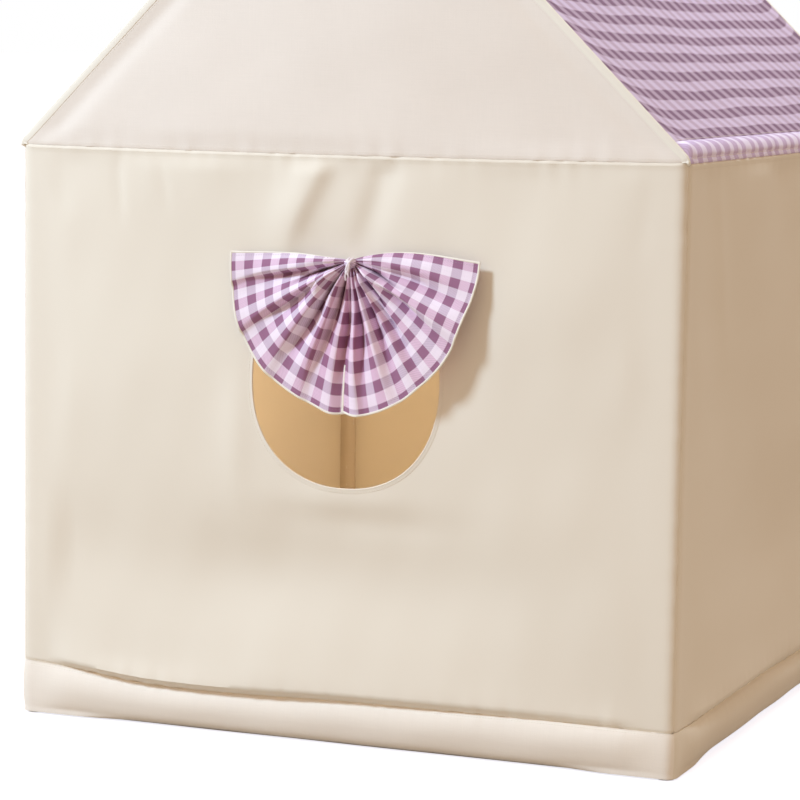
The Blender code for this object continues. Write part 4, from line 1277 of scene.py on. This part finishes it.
class TENT_OT_gables(bpy.types.Operator):
    """Fill the two gables and pipe their slopes"""

    bl_idname = "tent.gables"
    bl_label = "Gables"

    def execute(self, context):
        self.gable("window", False, 101)
        self.gable("door", True, 105)
        return {"FINISHED"}

    def gable(self, end, turned, seed):
        place = turn_round(gable_place(seed), turned)
        across, up = shares(POST_X, sizes().grid), lines(EAVE + GAP / 3, GABLE_TOP, sizes().grid)
        cloth = flat_cloth(f"{end}_gable_cloth", across, up, cut=lambda s, z: (s * gable_half(z), z))
        # The gable's lighter cloth is painted light.
        dress(hang(cloth, place), "gable_canvas", "tent", "canvas", f"{end}_gable")
        piping = piping_ring(f"{end}_piping", turned)
        dress(piping, "cream_tape", "tent", "cream_tape", f"{end}_gable_piping")
        run = np.concatenate([[-0.0036, -0.0018], lines(0.0, SLOPE, PIPING_STEP)])
        rim = over_ridge(np.stack(slope_section(run, -PIPING_BAND - 0.0015), axis=1))
        lip = flat_tape(f"{end}_piping_lip", rim, band_section(-0.0038, 0.0045, -0.0005, 0.0012))
        dress(hang(lip, place), "cream_tape", "tent", "cream_tape")
        slope = np.linspace(EAVE + 0.02, GABLE_TOP - 0.02, 120)
        right = np.stack([gable_half(slope) - 0.0115, slope], axis=1)
        paths = [level_line(-POST_X, POST_X, EAVE + EDGE), right, right * [-1, 1]]
        seams = sew(f"{end}_gable_stitches", paths, place)
        wide, tall = 2 * float(gable_half(EAVE)), GABLE_TOP - EAVE


# The window curtain.  A lobe's angles are in degrees below level, and its top edge lies LOBE_DROP above it.
# Its reach from the knot is a line of (angle, reach).  A pleat has its start, crest, stop and height, and
# so has a rope, which is what the pleats become where the cloth is drawn in close to the knot.
LEFT_REACH = (
    (-3, 0.1795), (8, 0.180), (20, 0.1858), (33, 0.1930), (46, 0.1990),
    (57, 0.2030), (67, 0.2050), (77, 0.2090), (86, 0.2135), (92, 0.2110),
)
RIGHT_REACH = (
    (-3, 0.193), (10, 0.190), (22, 0.1885), (33, 0.1935), (44, 0.1990),
    (55, 0.2015), (66, 0.2070), (77, 0.2110), (86, 0.2120), (92, 0.2080),
)
LEFT_PLEATS = (
    (-8, 10, 14, 0.80), (14, 31, 35.5, 0.90), (35.5, 51.5, 57.5, 1.00),
    (57.5, 69, 73.5, 0.80), (73.5, 84, 88.5, 0.75), (88.5, 92, 97, 0.25),
)
RIGHT_PLEATS = (
    (-8, 7, 14, 0.60), (14, 28, 33, 0.90), (33, 46, 50.5, 0.55), (50.5, 55, 63, 0.75),
    (63, 68, 79, 1.00), (79, 83, 91, 0.85), (91, 94, 97, 0.1),
)
LEFT_ROPES = (-9, 8, 21, 0.80), (21, 38, 57, 1.00), (57, 67, 76, 0.72), (76, 88, 99, 0.42)
RIGHT_ROPES = (
    (-9, 6, 22, 0.62), (22, 33, 44.5, 0.95), (44.5, 52, 58.5, 0.92), (58.5, 68, 76, 0.78), (76, 89, 99, 0.40)
)
SMALL_PLEATS = tuple((start, start + 2.6, start + 5.2, 1.0) for start in np.arange(-6.0, 94.0, 5.2))
# After those, how much of the hem's stand a lobe has, and how far its top edge arches and droops.
LOBES = {
    -1: (LEFT_REACH, LEFT_PLEATS, LEFT_ROPES, 0.44, 0.0052, -0.0030),
    1: (RIGHT_REACH, RIGHT_PLEATS, RIGHT_ROPES, 1.12, 0.0125, -0.0040),
}
LOBE_DROP, LOBE_SPREAD = 3.0, 95.0
LOBE_TURN = math.radians(LOBE_SPREAD)
LOBE_START, LOBE_STAND = 0.006, 0.0100


def pleat_heights(pleats, degrees, round_off):
    """Pleats with a crest between sharp valleys; round_off softens both."""
    total = np.zeros_like(degrees)
    for start, crest, stop, height in pleats:
        rise = np.clip((degrees - start) / (crest - start), 0.0, 1.0)
        share = np.minimum(rise, np.clip((stop - degrees) / (stop - crest), 0.0, 1.0))
        total += height * (np.sin(share * math.pi / 2) * (1 - round_off) + ease(share) * round_off)
    return total


def rope_heights(ropes, degrees, share, side):
    """Round ropes of cloth with narrow gaps between them."""
    degrees = degrees + 1.5 * np.sin(share * 11 + side)
    total = np.zeros_like(degrees)
    for start, crest, stop, height in ropes:
        rise = np.where(degrees < crest, (degrees - start) / (crest - start), (stop - degrees) / (stop - crest))
        total += height * np.sin(np.clip(rise, 0.0, 1.0) * math.pi / 2) ** 0.75
    return total


def lobe_place(side):
    """s runs along the hem, from the top edge on the right lobe and to it on the left; z from the knot."""
    reach_line, pleats, ropes, stand_share, lift, droop = LOBES[side]
    reach, stands = sizes().lobe_reach, sizes().rim_stand * stand_share

    def place(s, z):
        degrees, share = np.degrees(side * s / reach) - LOBE_DROP, z / reach
        across = np.clip((degrees + LOBE_DROP) / LOBE_SPREAD, 0.0, 1.0)
        radius = LOBE_START + (smooth_line(reach_line, degrees) - LOBE_START) * share
        stand = LOBE_STAND + (stands - LOBE_STAND) * ease(share) * (0.30 + 0.70 * ease(across / 0.40))

        wander = 2.0 * np.sin(share * 4.2 + side) * ease(share) * ease(across / 0.1) * ease((1 - across) / 0.1)
        wander = degrees + wander
        far = pleat_heights(pleats, wander, ease((share - 0.25) / 0.60))
        near = rope_heights(ropes, degrees, share, side)
        depth = 0.0320 * ease(share / 0.16) * (1 - 0.84 * ease((share - 0.22) / 0.74))
        stand = stand + depth * (far + (near - far) * ease((0.52 - share) / 0.34) - 0.36)
        belly = np.sin(math.pi * np.clip(share / 0.75, 0, 1)) ** 2
        stand = stand - 0.0070 * ease((across - 0.58) / 0.3) * belly

        small = pleat_heights(SMALL_PLEATS, wander + 1.5 * np.sin(share * 9), 0.0)
        stand = stand + 0.0016 * (small - 0.5) * ease(share / 0.10) * np.exp(-share / 0.25)
        stand = stand + 0.0007 * np.sin(np.radians(degrees) * 13 + share * 9 + side)
        stand = stand - 0.0060 * bump(degrees, LOBE_SPREAD - LOBE_DROP, 3.0) * ease(share / 0.2)
        hem = reach - z
        stand = stand - 0.0005 * bump(hem, 0.0055, 0.0009) + 0.0004 * ease(1 - hem / 0.0055)

        lean = np.radians(degrees)
        opening = 0.0010 + 0.0040 * ease((share - 0.45) / 0.55) * ease((across - 0.8) / 0.2)
        x = side * (opening + radius * np.cos(lean))
        arch = lift * np.sin(math.pi * np.clip(share, 0, 1) ** 0.75) + droop * ease(share)
        height = KNOT.z - 0.0035 - radius * np.sin(lean) + arch * ease(1 - across / 0.25)
        height = height + 0.0020 * np.exp(-share / 0.06) * ease(1 - across / 0.2)
        return np.stack([KNOT.x + x, FRONT - stand, height], axis=1)

    return place


def mark_shade(cloth, side):
    """A second UV map says how deep between the folds, and how near the slit, a spot of the curtain lies, which
    sets the painted shade there.
    """
    _, pleats, ropes, *_ = LOBES[side]
    s, z = read_uv(cloth)
    degrees, share = np.degrees(side * s / sizes().lobe_reach) - LOBE_DROP, z / sizes().lobe_reach
    near = 1 - ease(rope_heights(ropes, degrees, share, side) / 0.42)
    far = 1 - ease(pleat_heights(pleats, degrees + 2.0 * np.sin(share * 4.2 + side), 0.0) / 0.45)
    close = ease((0.58 - share) / 0.40)
    # gap is how much painted shade a spot gets deep between the folds.
    gap = np.clip(near * close + far * (1 - close) * 0.22 * ease((1.05 - share) / 0.5), 0.0, 1.0)
    write_uv(cloth, gap, ease((degrees - 52.0) / 28.0) * (1 - 0.75 * ease((share - 0.50) / 0.45)), "shade")


def edge_band(low, high, stand, way=1):
    """The section of a tape folded over a curtain's edge, with its wide side towards way."""
    return np.array(band_section(low, high, -stand, CURTAIN_CLOTH + stand)) * [way, 1]


# The strands and ends of the tie: the radius of each, and its points from the tie's centre.
TIE_CENTRE = Vector((KNOT.x + 0.001, FRONT - 0.0215, KNOT.z - 0.0075))
TIE_CORDS = {
    "tie_strand_right": (
        0.0021,
        (0.0058, 0.0090, 0.0072), (0.0048, 0.0000, 0.0046),
        (0.0024, -0.0042, -0.0015), (0.0004, -0.0034, -0.0100),
    ),
    "tie_strand_left": (
        0.0021,
        (0.0002, 0.0090, 0.0074), (0.0012, -0.0002, 0.0050),
        (0.0042, -0.0036, -0.0010), (0.0028, -0.0034, -0.0096),
    ),
    "tie_end_long": (
        0.0013, (0.0010, -0.0045, -0.0100), (0.0000, -0.0052, -0.0150), (0.0004, -0.0042, -0.0215)
    ),
    "tie_end_short": (
        0.0012, (0.0018, -0.0042, -0.0100), (0.0038, -0.0052, -0.0135), (0.0042, -0.0040, -0.0170)
    ),
}


class TENT_OT_window_curtain(bpy.types.Operator):
    """Pleat the two lobes of the window curtain, bind their edges and tie them at the knot"""

    bl_idname = "tent.window_curtain"
    bl_label = "Window curtain"

    def execute(self, context):
        self.lobe(-1, "left")
        self.lobe(1, "right")
        self.bunch()
        self.tie()
        return {"FINISHED"}

    def lobe(self, side, word):
        reach, hem, seam = sizes().lobe_reach, 0.0025, 0.0062
        wide = LOBE_TURN * reach
        low, high = sorted((0.0, side * wide))
        slit, slit_start = side * wide, 0.68 * reach
        place, flap = lobe_place(side), hung_from("window_curtain_flap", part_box("window_curtain")[1].z + GAP)
        across, up = np.linspace(low, high, 301), np.linspace(0.0, reach, 91)
        cloth = flat_cloth(f"curtain_lobe_{word}", across, up, CURTAIN_CLOTH)
        hang(cloth, place)
        mark_shade(cloth, side)
        dress(cloth, "curtain_gingham", flap, "gingham", "window_curtain")
        rim = level_line(low, high, reach, 300)
        for label, path, section in (
            ("rim", rim, edge_band(-hem, 0.0009, 0.0005)),
            ("top_edge", upright_line(0.0, 0.020, reach, 90), edge_band(-0.0009, hem, 0.0005, -side)),
            ("slit_edge", upright_line(slit, slit_start, reach, 90), edge_band(-0.0009, hem, 0.0005, side)),
        ):
            tape = hang(flat_tape(f"curtain_{label}_{word}", path, section), place)
            dress(tape, "cream_tape", flap, "cream_tape")
        rows = [rim - [0.0, seam]]
        rows += [upright_line(s, 0.020, reach, 90) for s in (side * seam, slit - side * seam)]
        sew(f"curtain_stitches_{word}", rows, place, "gingham", flap, "seam_thread")

    def bunch(self):
        """The gathered middle of the curtain, where both lobes pass through the tie."""
        piece = primitive(
            "curtain_bunch", bpy.ops.mesh.primitive_uv_sphere_add, segments=72, ring_count=36, radius=1.0
        )
        points = points_of(piece)
        turn = np.arctan2(points[:, 2], points[:, 0])
        creased = 1 + 0.10 * np.cos(9 * turn + 0.8) * (1 - points[:, 1] ** 2) + 0.04 * np.cos(17 * turn)
        points = points * creased[:, None] * [0.0086, 0.0085, 0.0066]
        set_points(piece, points + np.array(TIE_CENTRE + Vector((0.0012, 0.0085, 0.0008))))
        mark_flat(piece)
        bpy.ops.object.shade_smooth()
        dress(piece, "curtain_gingham", "window_curtain_flap", "gingham")

    def tie(self):
        """A cord over the gathers, drawn to a small knot with two short ends."""
        for name, (radius, *path) in TIE_CORDS.items():
            strand = cord(name, [TIE_CENTRE + Vector(point) for point in path], radius)
            nodes = ["curtain_tie"] if name == "tie_strand_right" else []
            dress(strand, "tie_cloth", "window_curtain_flap", "cream_tape", *nodes)
        ball = bpy.ops.mesh.primitive_uv_sphere_add
        knot = primitive("tie_knot", ball, segments=20, ring_count=12, radius=0.0030)
        points = points_of(knot) * [1.0, 0.85, 1.15]
        angle = np.arctan2(points[:, 0], points[:, 2])
        points *= (1 + 0.10 * np.sin(3 * angle + points[:, 1] * 900))[:, None]
        set_points(knot, points + np.array(TIE_CENTRE + Vector((0.0018, -0.0042, -0.0102))))
        knot.data.uv_layers[0].name = "cloth"
        bpy.ops.object.shade_smooth()
        dress(knot, "tie_cloth", "window_curtain_flap", "cream_tape")


def cord(name, points, radius):
    """A cord along a smooth curve through the points."""
    curve = primitive(name, bpy.ops.curve.primitive_bezier_curve_add).data
    spots = curve.splines[0].bezier_points
    spots.add(len(points) - len(spots))
    for spot, point in zip(spots, points):
        spot.co, spot.radius = point, 1.0
        spot.handle_left_type = spot.handle_right_type = "AUTO"
    curve.dimensions, curve.resolution_u = "3D", 12
    curve.bevel_depth, curve.bevel_resolution, curve.use_fill_caps = radius, 4, True
    bpy.ops.object.convert(target="MESH")
    piece = bpy.context.object
    bpy.ops.object.transform_apply(location=True, rotation=True, scale=True)
    piece.data.name = name
    piece.modifiers.new("weld", "WELD").merge_threshold = radius / 50
    apply_all(piece)
    face_outwards(piece)
    mark_flat(piece)
    smooth(piece)
    return piece


CURTAIN_FOOT, CURTAIN_TOP = (corner.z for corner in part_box("door_curtain_left"))
CURTAIN_TALL = CURTAIN_TOP - CURTAIN_FOOT
CURTAIN_WIDE = 0.42
CURTAIN_INNER, CURTAIN_OUTER = 0.006, 0.288
TIE_HEIGHT, TIE_X = middle("door_tieback_left").z, 0.268
INSIDE = BACK - CLOTH
NECK, NECK_SEAT = TIE_HEIGHT - CURTAIN_FOOT, 0.01835


def door_curtain_place(side):
    """A door curtain seen from outside: s is its cloth from its inner edge, z counts up from its lower edge."""

    def place(s, z):
        share, down = -side * s / CURTAIN_WIDE, (CURTAIN_TALL - z) / (CURTAIN_TALL - NECK)
        gathered, below = ease(down), ease((NECK - z - 0.014) / (NECK - 0.02))
        top_centre, top_half = (CURTAIN_INNER + CURTAIN_OUTER) / 2, (CURTAIN_OUTER - CURTAIN_INNER) / 2
        centre = top_centre + (TIE_X - top_centre) * gathered
        half = top_half + (0.0235 - top_half) * gathered + 0.024 * below
        depth = 0.0012 + (0.0118 - 0.0012) * ease(down / 0.9) - 0.0020 * below
        across = 2 * share - 1
        bend = 0.7 * np.sin(2 * math.pi * share + 1.0) + 0.25 * np.sin(9 * down)
        wave = np.sin(2 * math.pi * 7 * share + bend)
        minor = 0.22 * np.sin(2 * math.pi * 15 * share + 2.0 + 2.2 * down)
        folds = depth * np.sqrt(np.clip(1 - across * across, 0.0, 1.0)) * (wave + minor) / 1.15
        inward = GAP + 0.0016 + (NECK_SEAT - GAP - 0.0016) * ease(np.clip(1.9 * down, 0, 1))
        return np.stack([side * (centre + half * across), INSIDE - inward + folds, CURTAIN_FOOT + z], axis=1)

    return place


class TENT_OT_door_curtains(bpy.types.Operator):
    """Gather the two door curtains in their tie-backs, inside the doorway"""

    bl_idname = "tent.door_curtains"
    bl_label = "Door curtains"

    def execute(self, context):
        for side, word in ((-1, "left"), (1, "right")):
            self.curtain(side, word, f"door_curtain_{word}_flap")
            self.tieback(side, word, f"door_curtain_{word}_flap")
        return {"FINISHED"}

    def curtain(self, side, word, body):
        """The right curtain's cloth runs the other way, so that its face still looks out of the doorway."""
        low, high = sorted((0.0, -side * CURTAIN_WIDE))
        place, flap = door_curtain_place(side), hung_from(body, CURTAIN_TOP)
        across, up = np.linspace(low, high, 161), np.linspace(0.0, CURTAIN_TALL, 121)
        cloth = flat_cloth(f"door_curtain_cloth_{word}", across, up, CURTAIN_CLOTH)
        dress(hang(cloth, place), "curtain_gingham", flap, "gingham", f"door_curtain_{word}")
        for label, path, way in (
            ("foot", level_line(low, high, 0.0, 180), 1),
            ("edge", upright_line(0.0, 0.0, CURTAIN_TALL, 140), side),
        ):
            tape = flat_tape(f"door_curtain_{label}_{word}", path, edge_band(-0.0009, 0.0066, 0.0006, way))
            dress(hang(tape, place), "cream_tape", flap, "cream_tape")

    def tieback(self, side, word, body):
        """A stitched cloth band round the gathers, whose ends meet at the press stud."""
        low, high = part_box(f"door_tieback_{word}")
        tall, half_depth = high.z - low.z, (high.y - low.y) / 2 - 0.0002
        turn = np.linspace(0, 2 * math.pi, 96, endpoint=False)
        x, y = side * TIE_X + 0.0265 * np.cos(turn), (low.y + high.y) / 2 + half_depth * np.sin(turn)
        off, rise = np.array(band_section(0.0, 0.0016, -tall / 2, tall / 2, 3)).T
        height = TIE_HEIGHT + rise + 0.0006 * np.sin(3 * turn[:, None] + rise * 60)
        rings = sweep(np.stack([x, y], axis=1), off, height, True, plane=(0, 1))
        band = loft(f"tieback_band_{word}", rings, closed=True)
        mark_flat(band)
        smooth(band)
        dress(band, "cream_tape", body, "cream_tape", f"door_tieback_{word}")
        start, stop = TIE_X + 0.020, high.x if side > 0 else -low.x
        up = np.linspace(-tall / 2 + 0.001, tall / 2 - 0.001, 16)
        tab = flat_cloth(f"tieback_tab_{word}", np.linspace(start, stop, 24), up, 0.0014)
        if side < 0:
            mirror(tab, 0)
        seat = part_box(f"door_stud_{word}")[0].y - 0.0006 - 0.0014

        def tab_place(s, z):
            lift = 0.0060 * ease(1 - (np.abs(s) - TIE_X - 0.020) / 0.012)
            return np.stack([s, seat - lift * 0.4, TIE_HEIGHT + z], axis=1)

        dress(hang(tab, tab_place), "cream_tape", body, "cream_tape")


POLES = "post_", "rafter_", "base_rail", "eave_rail", "gable_rail", "ridge_pole"
CONNECTORS = "base_connector", "eave_connector", "ridge_connector"


class TENT_OT_frame_plastic(bpy.types.Operator):
    """Give the poles, connectors and press studs their moulded plastic, and sleeve the corner posts"""

    bl_idname = "tent.frame_plastic"
    bl_label = "Poles and connectors"

    def execute(self, context):
        colours = context.scene.tent_colours
        finishes = (
            (POLES, plastic("pole_plastic", colours.pole, 0.28)),
            (CONNECTORS, plastic("connector_plastic", colours.connector, 0.42)),
            ("door_stud", plastic("stud_plastic", colours.pole, 0.22)),
        )
        for name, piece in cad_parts.items():
            for starts, material in finishes:
                if name.startswith(starts):
                    for slot in piece.material_slots:
                        slot.material = material
        for number, (x_side, y_side) in enumerate(((-1, -1), (1, -1), (1, 1), (-1, 1))):
            self.sleeve(x_side, y_side, number)
        return {"FINISHED"}

    def sleeve(self, x_side, y_side, number):
        """A canvas sleeve holds the post in its corner, from above the hem to below the eave; its darker colour
        is painted shade.
        """
        low, high = HEM + 0.030, EAVE - 0.085
        rise = lines(low, high, 0.010)[:, None]
        turn = np.linspace(0, 2 * math.pi, 49)[:-1]
        wall = INSET - CLOTH - GAP
        flap = math.atan2(0.0060, wall)
        leave = flap + math.acos(POLE_RADIUS * math.cos(flap) / wall)
        off = np.abs((turn - math.atan2(y_side, x_side) + math.pi) % (2 * math.pi) - math.pi) - math.pi / 4
        cover = POLE_RADIUS + 0.0010 + (wall - POLE_RADIUS - 0.0014) * ease(1 + off / 0.45)
        along_wall = wall / np.cos(np.clip(off, 0, flap))
        across_gap = np.maximum(POLE_RADIUS / np.cos(np.clip(off, flap, leave) - leave), POLE_RADIUS) + 0.0006
        profile = np.where(off < 0, cover, np.where(off < flap, along_wall, across_gap))
        loose = 0.0005 * np.sin(3 * turn + rise * 31 + number) + 0.0003 * np.sin(rise * 170 + 5 * turn)
        radius = profile + loose * ease((off - leave) / 0.4)
        x = x_side * POST_X + radius * np.cos(turn)
        y = CENTRE_Y + y_side * POST_Y + radius * np.sin(turn)
        word = f"{'door' if y_side > 0 else 'window'}_{'right' if x_side > 0 else 'left'}"
        rings = np.stack([x, y, np.broadcast_to(rise, x.shape)], axis=2)
        sleeve = loft(f"post_sleeve_{word}", rings, capped=False)
        thicken(sleeve, 0.0008)
        mark_flat(sleeve)
        smooth(sleeve)
        dress(sleeve, "sleeve_canvas", "tent", "canvas")


# The photograph's camera, measured from the middle of the window wall's foot.
CAMERA_LENS = 3029 * 36 / 800
CAMERA_YAW, CAMERA_PITCH, CAMERA_ROLL = math.radians(22.05), math.radians(6.67), math.radians(0.85)
CAMERA_DISTANCE, CAMERA_HEIGHT, CAMERA_ASIDE = 4.181, 0.980, 0.087

# Each lamp: its place, what it points at, its size, power and colour.
LAMPS = {
    "key": ((-2.8, -3.4, 3.65), (0.0, FRONT, 0.70), 1.0, 226.0, (0.625, 0.82, 1.0)),
    "above": ((0.4, 0.2, 4.6), (0.2, 0.0, 0.9), 2.0, 105.0, (0.70, 0.88, 1.0)),
    "inside": ((0.0, CENTRE_Y, EAVE - 0.02), (0.0, CENTRE_Y, 0.0), 0.55, 4.7, (1.0, 0.76, 0.44)),
}
FLOOR, FLOOR_GLOW, GLOW_STRENGTH = (0.45, 0.385, 0.315), (0.92, 0.93, 1.0, 1.0), 0.87
ROOM, ROOM_STRENGTH = (1.0, 0.75, 0.53, 1.0), 0.64


def seen_rays(tree):
    """One where the camera sees the surface, itself or in a gloss."""
    rays = add_node(tree, "LightPath").outputs
    return calculate(tree, "MAXIMUM", rays["Is Camera Ray"], rays["Is Glossy Ray"])


class TENT_OT_stage(bpy.types.Operator):
    """Set the floor, the soft lights and the camera of the photograph"""

    bl_idname = "tent.stage"
    bl_label = "Stage"

    def execute(self, context):
        scene = context.scene
        scene.view_settings.view_transform = "Standard"
        self.camera(scene)
        self.floor()
        self.world(scene)
        for name, values in LAMPS.items():
            self.lamp(scene, name, *values)
        return {"FINISHED"}

    def camera(self, scene):
        data = bpy.data.cameras.new("camera")
        data.lens, data.sensor_width = CAMERA_LENS, 36
        camera = bpy.data.objects.new("camera", data)
        scene.collection.objects.link(camera)
        back = Vector((math.sin(CAMERA_YAW), -math.cos(CAMERA_YAW), 0))
        right = Vector((math.cos(CAMERA_YAW), math.sin(CAMERA_YAW), 0))
        eye = back * CAMERA_DISTANCE + right * CAMERA_ASIDE + Vector((0, FRONT, CAMERA_HEIGHT))
        ahead = -back * math.cos(CAMERA_PITCH) - Vector((0, 0, math.sin(CAMERA_PITCH)))
        up = right.cross(ahead)
        rolled_right = right * math.cos(CAMERA_ROLL) + up * math.sin(CAMERA_ROLL)
        rolled_up = up * math.cos(CAMERA_ROLL) - right * math.sin(CAMERA_ROLL)
        turned = Matrix((rolled_right, rolled_up, -ahead)).transposed()
        camera.matrix_world = Matrix.Translation(eye) @ turned.to_4x4()
        scene.camera = camera

    def floor(self):
        floor = primitive("floor", bpy.ops.mesh.primitive_plane_add, size=400, location=(0, 0, -0.0004))
        material, tree, shader = new_material("floor", FLOOR)
        shader.inputs["Base Color"].default_value = rgba(FLOOR)
        shader.inputs["Roughness"].default_value = 0.9
        shader.inputs["Specular IOR Level"].default_value = 0.1
        strength = calculate(tree, "MULTIPLY", seen_rays(tree), GLOW_STRENGTH)
        glow = add_node(tree, "Emission", Color=FLOOR_GLOW, Strength=strength)
        both = add_node(tree, "AddShader")
        feed(tree, both.inputs[0], shader.outputs[0])
        feed(tree, both.inputs[1], glow.outputs[0])
        feed(tree, tree.nodes["Material Output"].inputs["Surface"], both.outputs[0])
        floor.data.materials.append(material)

    def world(self, scene):
        """The room lights the tent, and the camera sees it plain white."""
        scene.world = bpy.data.worlds.new("studio")
        scene.world.use_nodes = True
        tree = scene.world.node_tree
        light = tree.nodes["Background"]
        light.inputs["Color"].default_value = ROOM
        light.inputs["Strength"].default_value = ROOM_STRENGTH
        white = add_node(tree, "Background", Color=WHITE, Strength=1.0)
        mixed = add_node(tree, "MixShader")
        for socket, value in zip(mixed.inputs, (seen_rays(tree), light.outputs[0], white.outputs[0])):
            feed(tree, socket, value)
        feed(tree, tree.nodes["World Output"].inputs["Surface"], mixed.outputs[0])

    def lamp(self, scene, name, place, aim, size, power, colour):
        data = bpy.data.lights.new(name, "AREA")
        data.shape, data.size, data.energy, data.color = "DISK", size, power, colour
        lamp = bpy.data.objects.new(name, data)
        scene.collection.objects.link(lamp)
        lamp.location = place
        lamp.rotation_euler = (Vector(aim) - Vector(place)).to_track_quat("-Z", "Y").to_euler()


class TENT_PT_panel(bpy.types.Panel):
    """The tent's pieces and sizes"""

    bl_label = "Play tent"
    bl_idname = "TENT_PT_panel"
    bl_space_type = "VIEW_3D"
    bl_region_type = "UI"
    bl_category = "Play tent"

    def draw(self, context):
        for operator in OPERATORS:
            self.layout.operator(operator.bl_idname)
        for settings in (context.scene.tent_sizes, context.scene.tent_colours):
            box = self.layout.box()
            for name in settings.bl_rna.properties.keys():
                if name not in ("rna_type", "name"):
                    box.prop(settings, name)


OPERATORS = (
    TENT_OT_stage,
    TENT_OT_frame_plastic,
    TENT_OT_walls,
    TENT_OT_hems,
    TENT_OT_gables,
    TENT_OT_roof,
    TENT_OT_window_curtain,
    TENT_OT_door_curtains,
)
CLASSES = (TentSizes, TentColours, *OPERATORS, TENT_PT_panel)


def register():
    for kind in CLASSES:
        bpy.utils.register_class(kind)
    bpy.types.Scene.tent_sizes = PointerProperty(type=TentSizes)
    bpy.types.Scene.tent_colours = PointerProperty(type=TentColours)


def unregister():
    del bpy.types.Scene.tent_sizes
    del bpy.types.Scene.tent_colours
    for kind in reversed(CLASSES):
        bpy.utils.unregister_class(kind)


def main():
    register()
    bpy.ops.tent.stage()
    bpy.ops.tent.frame_plastic()
    bpy.ops.tent.walls()
    bpy.ops.tent.hems()
    bpy.ops.tent.gables()
    bpy.ops.tent.roof()
    bpy.ops.tent.window_curtain()
    bpy.ops.tent.door_curtains()


if __name__ == "__main__":
    main()
